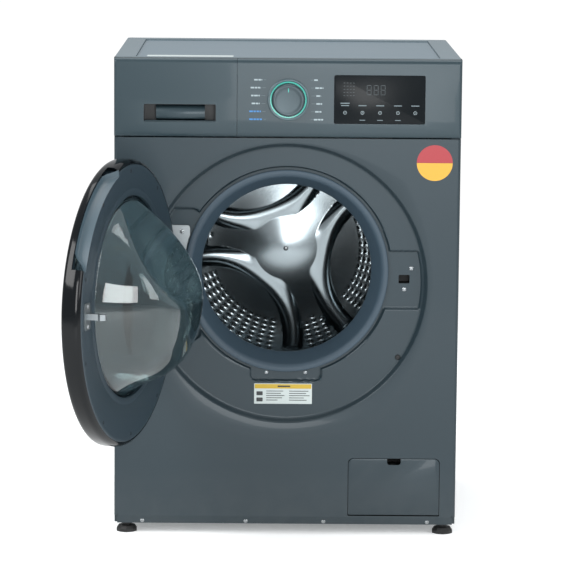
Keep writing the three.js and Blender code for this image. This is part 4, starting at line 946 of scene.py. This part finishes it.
turns = [5 * i for i in range(73)]
depths = [DRUM_FRONT + (DRUM_BACK - 8 - DRUM_FRONT) * j / 13 for j in range(14)]
wall = pierced(on_wall, turns, depths, lambda u, v: math.degrees(WALL_HOLE / DRUM_IN),
               lambda u, v: WALL_HOLE, 1.1, near_lifter)
print("holes in the wall:", sum(not near_lifter(u + 2.5, v + 8) for u in turns[:-1] for v in depths[:-1]))

# %% [markdown]
# The back is a smooth dish, deepest at the middle. Each rib is an arc of a circle centred outside
# the dish, rounded across like a bead, and it fades out at both ends. Outside the plain middle the
# back is pierced in rings, except on the ribs.

# %% The back and its ribs
RIB_FROM_AXIS, RIB_ARC, RIB_HALF = 215, 150, 18.5
RIB_REACH = math.radians(61)
RIB_CENTRES = [(RIB_FROM_AXIS * math.cos(math.radians(t)), -RIB_FROM_AXIS * math.sin(math.radians(t)))
               for t in (9, 129, 249)]
PLAIN_R, RING_R = 134, 232


def dish_rise(r):
    return 17 * soft(r / 152) ** 0.9


def back_depth(x, z):
    dish = DRUM_BACK - 18.2 + dish_rise(math.hypot(x, z))
    press = 0
    for cx, cz in RIB_CENTRES:
        away = math.hypot(x - cx, z - cz)
        along = ((x - cx) * -cx + (z - cz) * -cz) / (away * RIB_FROM_AXIS + 1e-9)
        side = math.acos(max(-1, min(1, along)))
        crown = max(0, 1 - ((away - RIB_ARC) / RIB_HALF) ** 2) ** 0.75
        press = max(press, crown * soft((RIB_REACH - side) / 0.09))
    return dish + (min(dish, DRUM_BACK - 12) - dish) * press


def on_back(turn, r, deep):
    a = math.radians(turn)
    x, z = r * math.cos(a), r * math.sin(a)
    return at(x, back_depth(x, z) + deep, DRUM_Z + z)


def on_rib(turn, r):
    for a, b in [(turn + u, r + v) for u in (-2.5, 0, 2.5) for v in (-5, 0, 5)]:
        x, z = b * math.cos(math.radians(a)), b * math.sin(math.radians(a))
        if back_depth(x, z) < DRUM_BACK - 18 + dish_rise(math.hypot(x, z)) - 0.4:
            return True
    return False


middle = [[on_back(i * 0.75, 0.01 + PLAIN_R * k / 120, 0) for i in range(480)] for k in range(121)]
centre = strip(middle, closed=True)
spokes = [6 * i for i in range(61)]
circles = [PLAIN_R + (RING_R - PLAIN_R) * j / 11 for j in range(12)]
annulus = pierced(on_back, spokes, circles, lambda u, v: math.degrees(BACK_HOLE / v),
                  lambda u, v: BACK_HOLE, 1.0, on_rib, 8)
corner = turned([(RING_R, DRUM_BACK - 1.2), (DRUM_IN - 1.6, DRUM_BACK - 2.6),
                 (DRUM_IN - 0.3, DRUM_BACK - 5), (DRUM_IN, DRUM_BACK - 8)], 0, DRUM_Z, 144)
mouth = turned([(DRUM_IN, DRUM_FRONT), (DRUM_IN - 1.5, 94.6), (DRUM_IN - 5, 93.2),
                (OPENING - 9.6, 93.2), (OPENING - 12, 89), (OPENING - 13.4, 86.4),
                (OPENING - 15, 86.0), (OPENING - 16, 87.6), (OPENING - 15.2, 90)], 0, DRUM_Z, 192)
liner = joined(wall, centre, annulus, corner, mouth)
drum = piece("drum_liner", *liner, "drum", STAINLESS, "stainless", sharp=35)
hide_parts("drum_shell")
print("drum faces:", len(drum.data.polygons))

# %% [markdown]
# ## Screws
# A cross headed screw is a low dome with a cross sunk in it. One small builder makes it anywhere,
# facing either way, so each of the machine's twenty odd screws is real geometry.

# %% A screw builder
def screw(x, y, z, size, where=at, out=-1, tall=None):
    tall = tall if tall else size * 0.42
    round_turns = [math.tau * i / 32 for i in range(32)]
    rows = []
    for share in (0.0, 0.16, 0.3, 0.45, 0.62, 0.8, 0.93, 1.0):
        row = []
        for a in round_turns:
            dx, dz = size * share * math.cos(a), size * share * math.sin(a)
            h = tall * math.sqrt(max(0, 1 - share ** 2 * 0.96))
            slot = min(abs(dx), abs(dz)) < size * 0.13 and share < 0.66
            h -= tall * 0.75 if slot else 0
            row.append(where(x + dx, y + out * h, z + dz))
        rows.append(row)
    rows.append([where(x + size * math.cos(a), y + 0.3, z + size * math.sin(a)) for a in round_turns])
    return strip(rows, closed=True)


def screws(name, made, body="cabinet", colour=STEEL, slot="steel"):
    piece(name, *joined(*made), body, colour, slot, sharp=30)
    return len(made)


count = screws("flange_screws", [screw(x, 2.4, 23, 3.6) for x in (-250, -68.6, 68, 250)])
count += screws("sill_screws", [screw(x, press_depth(x, SILL - 1), SILL - 7, 3.4) for x in (-34, 34)])
lock_places = ((LOCK[0] + 12.5, LOCK[1] + 19), (LOCK[0] + 0.5, LOCK[1] - 18))
count += screws("lock_screws", [screw(x, 15, z, 3.8) for x, z in lock_places])
hinge_places = ((-182, 533.6), (-185, 355))
count += screws("hinge_plate_screws", [screw(x, 12.9, z, 4.2) for x, z in hinge_places])
screws("drum_hub_screw", [screw(0, DRUM_BACK - 18.2, DRUM_Z, 4.5)], "drum", STEEL, "stainless")
print("screws on the cabinet:", count)

# %% [markdown]
# ## Small fittings of the front
# A rubber bumper sits in the dish and stops the door from rattling. The service flap is a pressed
# cover with rounded edges and a rounded notch for a coin or a finger.

# %% Bumper and flap
bumper = [(0.01, 7.4), (3, 7.2), (4.2, 7.8), (4.8, 9.4), (4.8, 10.2)]
piece("door_bumper", *turned(bumper, 195, 315, 40), "cabinet", BLACK, "black_plastic")
cover = plate(FLAP, 0, 2.5, r=9, bevel=0.8, steps=10, low_r=2)
flap = piece("service_flap_cover", *cover, "flap", PAINT, "painted_body")
mid = (FLAP[0] + FLAP[1]) / 2
cut_away(flap, plate((mid - 12, mid + 12, FLAP[3] - 11, FLAP[3] + 8), -2, 6, r=5, bevel=0))
bosses = [plate((x, x + 4, 36.9, 47), 1.6, 6, r=2, bevel=0.4) for x in (FLAP[0], FLAP[1] - 4)]
piece("flap_hinge_ears", *joined(*bosses), "flap", PAINT, "painted_body")
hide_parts("service_flap")
print("flap:", len(flap.data.polygons), "faces")

# %% [markdown]
# ## Door
# The door is a gloss black rim round a smoked window, a grey inner ring, and a deep glass bowl
# that pushes the washing back. All of it is measured closed and placed by the door's own function.

# %% Rim and window
FRONT_Y = -30
R = DOOR_R - 0.5
GRIP_FLOOR = FRONT_Y + 13
SCOOP_R = R - 16
SCOOP_LOW, SCOOP_HIGH = R - 160, R - 23
rim_profile = [(34, 0), (5, 0), (3, 0.6), (1.4, 2), (0.4, 4.5), (0, 8), (0, 20), (0.5, 23.5), (2, 27),
               (4.6, 29.8), (8, 31.4), (8, 28), (4.5, 25), (3, 20), (3, 6), (6, 3), (34, 3), (34, 0)]
rim_section = [(R - inward, FRONT_Y + y) for inward, y in rim_profile]
rim_shape = turned(rim_section, 0, DOOR_Z, 192, on_door)
rim = piece("door_rim_gloss", *rim_shape, "door", BLACK_GLASS, "black_glass", sharp=45)


def round_scoop(sections):
    low, high = math.asin(SCOOP_LOW / SCOOP_R), math.asin(SCOOP_HIGH / SCOOP_R)
    rows = []
    for k, section in enumerate(sections):
        a = low + (high - low) * k / (len(sections) - 1)
        rows.append([on_door(r * math.cos(a), y, DOOR_Z + r * math.sin(a)) for r, y in section])
    return rows


def scoop_cutter(floor_y):
    section = ((SCOOP_R, floor_y), (R + 20, floor_y), (R + 20, 20), (SCOOP_R, 20))
    points, faces = strip(round_scoop([section] * 25), closed=True)
    return points, faces + [(0, 1, 2, 3), tuple(range(len(points) - 4, len(points)))]


cut_away(rim, scoop_cutter(GRIP_FLOOR))
for z in (DOOR_Z - 34, DOOR_Z + 34):
    slot_box = (-R - 10, -R + 26, z - 4, z + 4)
    cut_away(rim, plate(slot_box, -12, 20, r=0.1, bevel=0, where=on_door, steps=1))
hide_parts("door_rim")
edge = R - 34.4
dome = [(0.01, -6), (30, -5.9), (60, -5.6), (edge - 115, -5.2), (edge - 80, -4.2), (edge - 45, -2.6),
        (edge - 20, -1.2), (edge - 1, 0.3), (edge, 0.8), (edge, 3.4), (edge - 20, 2), (edge - 45, 0.4),
        (edge - 115, -2.2), (60, -2.6), (0.01, -3)]
pane = turned([(r, FRONT_Y + y) for r, y in dome], 0, DOOR_Z, 160, on_door)
cover = piece("door_window_cover", *pane, "door", SMOKED, "window_plastic", sharp=60)
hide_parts("door_window")
print("rim:", len(rim.data.polygons), "window:", len(cover.data.polygons))

# %% [markdown]
# The bowl is blown glass about 4 mm thick. It is a turned profile flattened by a slanted facet
# that runs from its upper rim to its deep end. Taking a soft minimum of the two, instead of a sharp
# cut, gives the rolled corner that glass has.

# %% Glass bowl
BOWL_R = OPENING - 4
BOWL_Z = DRUM_Z - 10
BOWL_WALL = 4
ROLL = 9.0
BOWL_SECTION = [(5, -3), (8, 1), (14, 10), (19, 19), (25, 31), (29.5, 42), (35, 54), (41.5, 66),
                (50, 76), (60, 86.5), (73, 95), (90, 102), (108, 107), (135, 110.5), (BOWL_R - 0.01, 111.8)]


def facet_limit(z, offset):
    top = BOWL_Z + BOWL_R + 4
    return -10 + (top - z - offset) / 1.45


def bowl_rows(thin):
    rows = []
    for i in range(160):
        a = math.tau * i / 160
        row = []
        for inward, y in BOWL_SECTION:
            r = max(0.01, BOWL_R - inward - thin * 0.95)
            y = y - thin * 0.8 if y > 60 else y
            x, z = r * math.cos(a), BOWL_Z + r * math.sin(a)
            low = facet_limit(z, thin * 1.2)
            h = max(0, min(1, 0.5 + 0.5 * (low - y) / ROLL))
            y = max(-3, low * (1 - h) + y * h - ROLL * h * (1 - h))
            row.append(on_door(x, y, z))
        rows.append(row)
    rows.append(rows[0])
    return rows


FLANGE_R = BOWL_R + 10.3
flange = [(FLANGE_R, -6.5), (FLANGE_R + 0.2, -6), (FLANGE_R + 0.2, -2.8), (FLANGE_R - 0.1, -2.5),
          (BOWL_R - 5, -3)]
under = [(FLANGE_R, -6.5), (BOWL_R - 8, -6.5), (BOWL_R - 8.95, -3.2)]
lens = joined(strip(bowl_rows(0)), strip(bowl_rows(BOWL_WALL)),
              turned(flange, 0, BOWL_Z, 160, on_door), turned(under, 0, BOWL_Z, 160, on_door))
glass = piece("door_bowl_glass", *lens, "door", BOWL, "bowl_glass", sharp=70)
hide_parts("door_glass")
print("bowl:", len(glass.data.polygons), "faces")

# %% [markdown]
# The inner ring is a flat moulding with a rolled edge. It has a pocket for the hinge, a paler
# finger recess on the free side, and screws sunk all round.

# %% Inner ring
outer = R - 8.4
rays = []
for i in range(240):
    a = math.tau * i / 240
    dx, dz = math.cos(a), math.sin(a)
    shift = DOOR_Z - BOWL_Z
    far = dz * shift + math.sqrt((dz * shift) ** 2 - shift ** 2 + outer ** 2)
    stops = [(BOWL_R, -14), (BOWL_R, 0.6), (BOWL_R + 0.5, 1.6), (BOWL_R + 1.6, 2), (BOWL_R + 9, 2),
             (BOWL_R + 11, 1.2), (BOWL_R + 13, 1.2), (BOWL_R + 15, 2), (far - 6, 2), (far - 1.6, 1.9),
             (far - 0.5, 1.2), (far, 0.2), (far, -26)]
    rays.append([on_door(r * dx, y, BOWL_Z + r * dz) for r, y in stops])
rays.append(rays[0])
ring_part = piece("door_inner_ring", *strip(rays), "door", RING, "door_plastic", sharp=50)
thicken(ring_part, 2.0, 50)
POCKET_LOW, POCKET_HIGH = DOOR_Z - 50, DOOR_Z + 50
x0, x1 = -R + 12, -BOWL_R - 15
cut_away(ring_part, plate((-R - 2, x1, POCKET_LOW, POCKET_HIGH), -23.8, 20, r=3, bevel=0, where=on_door),
         scoop_cutter(GRIP_FLOOR + 0.2))
outline = ((x0, POCKET_LOW), (x1, POCKET_LOW), (x1, POCKET_HIGH), (x0, POCKET_HIGH))
points, faces = strip([[on_door(x, y, z) for x, z in outline] for y in (1.5, -24)], closed=True)
piece("door_hinge_pocket", points, faces + [(4, 5, 6, 7)], "door", RING, "door_plastic", sharp=30)
hollow = ((SCOOP_R, 1.6), (R - 15.6, -8), (R - 14.4, GRIP_FLOOR + 1.6), (R - 12, GRIP_FLOOR + 0.4),
          (R - 4, GRIP_FLOOR + 0.3))
ends = [soft(min(k, 24 - k) / 3) for k in range(25)]
scoop = round_scoop([[(r, 1.6 + (y - 1.6) * end) for r, y in hollow] for end in ends])
piece("door_finger_recess", *strip(scoop), "door", RECESS, "door_plastic", sharp=60)
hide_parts("door_ring")
fastened = []
for k in range(10):
    a = math.radians(18 + 36 * k)
    x, z = (R - 19) * math.cos(a), DOOR_Z + (R - 19) * math.sin(a)
    if abs(z - DOOR_Z) < 60 and x < 0 or (x > 150 and 70 < z - DOOR_Z < 225):
        x, z = 0.93 * x, DOOR_Z + 0.93 * (z - DOOR_Z)
    fastened.append(screw(x, 1.6, z, 3.6, on_door, 1, 0.9))
screws("door_ring_screws", fastened, "door", BLACK, "door_plastic")
latch = [screw(LOCK[0] + 2, 4, LOCK[1] + dz, 3.6, on_door, 1, 1.2) for dz in (-16, 16)]
screws("latch_screws", latch, "door", STEEL, "zinc")
print("ring:", len(ring_part.data.polygons), "faces,", len(fastened), "screws")

# %% [markdown]
# ## Stickers
# New machines carry stickers. They are kept as plain shapes: a round two colour badge, a notice
# with a coloured band and dark bars in place of text, and a strip on the worktop. Each is a thin
# sheet that stands just proud of what it is stuck to.

# %% Stickers
BADGE = (254, 657, 31)


def half_disc(x, z, r, low, high):
    turns = [math.tau * i / 96 for i in range(96)]
    edge = [(r * math.cos(t), min(high, max(low, r * math.sin(t)))) for t in turns]
    return [at(x + a, -0.25, z + b) for a, b in edge], [tuple(range(96))]


piece("badge_upper", *half_disc(*BADGE, 0.2, 40), "cabinet", RED, "painted_body")
piece("badge_lower", *half_disc(*BADGE, -40, -0.2), "cabinet", AMBER, "painted_body")
LYING = press_depth(0, 250)


def stuck(box, proud, into, r, bevel=0.02, steps=1):
    return plate(box, LYING - proud, LYING + into, r=r, bevel=bevel, steps=steps)


paper = stuck((-55, 46, 231, 267), 0.3, 0.2, 1, 0.05, 6)
piece("notice_paper", *paper, "cabinet", PAPER, "painted_body")
band = stuck((-54, 45, 258, 266), 0.42, -0.2, 0.6, 0.03, 6)
piece("notice_band", *band, "cabinet", YELLOW, "painted_body")
lines = [stuck((x, x + w, z, z + 1.2), 0.4, -0.2, 0.3)
         for x, widths in ((-34, (30, 26, 32, 28, 20)), (6, (34, 30, 36, 26, 31)))
         for z, w in zip((253, 249, 245, 241, 237), widths)]
lines.append(stuck((-14, 8, 260.8, 263.4), 0.5, -0.3, 0.5))
lines += [stuck((-51, -40, z, z + 7), 0.4, -0.2, 1, steps=2) for z in (235, 246)]
piece("notice_bars", *joined(*lines), "cabinet", SHADE_AND_PRINT_DARK, "painted_body")
leaflet = plate((-245, -95, 38, 86), 2.25, 2.62, r=1.5, bevel=0.1, where=on_top)
piece("worktop_strip", *leaflet, "cabinet", PAPER, "board")
print("sticker bars:", len(lines))

# %% [markdown]
# ## Finish
# The dressed machine must be the same size as the frame, so both boxes are printed.

# %% Sizes and the end
visual_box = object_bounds()
boxes = {"cad": [list(map(float, v)) for v in cad_box],
         "visual": [list(map(float, v)) for v in visual_box]}
for name, corners in boxes.items():
    print(name, [[round(c, 4) for c in corner] for corner in corners])
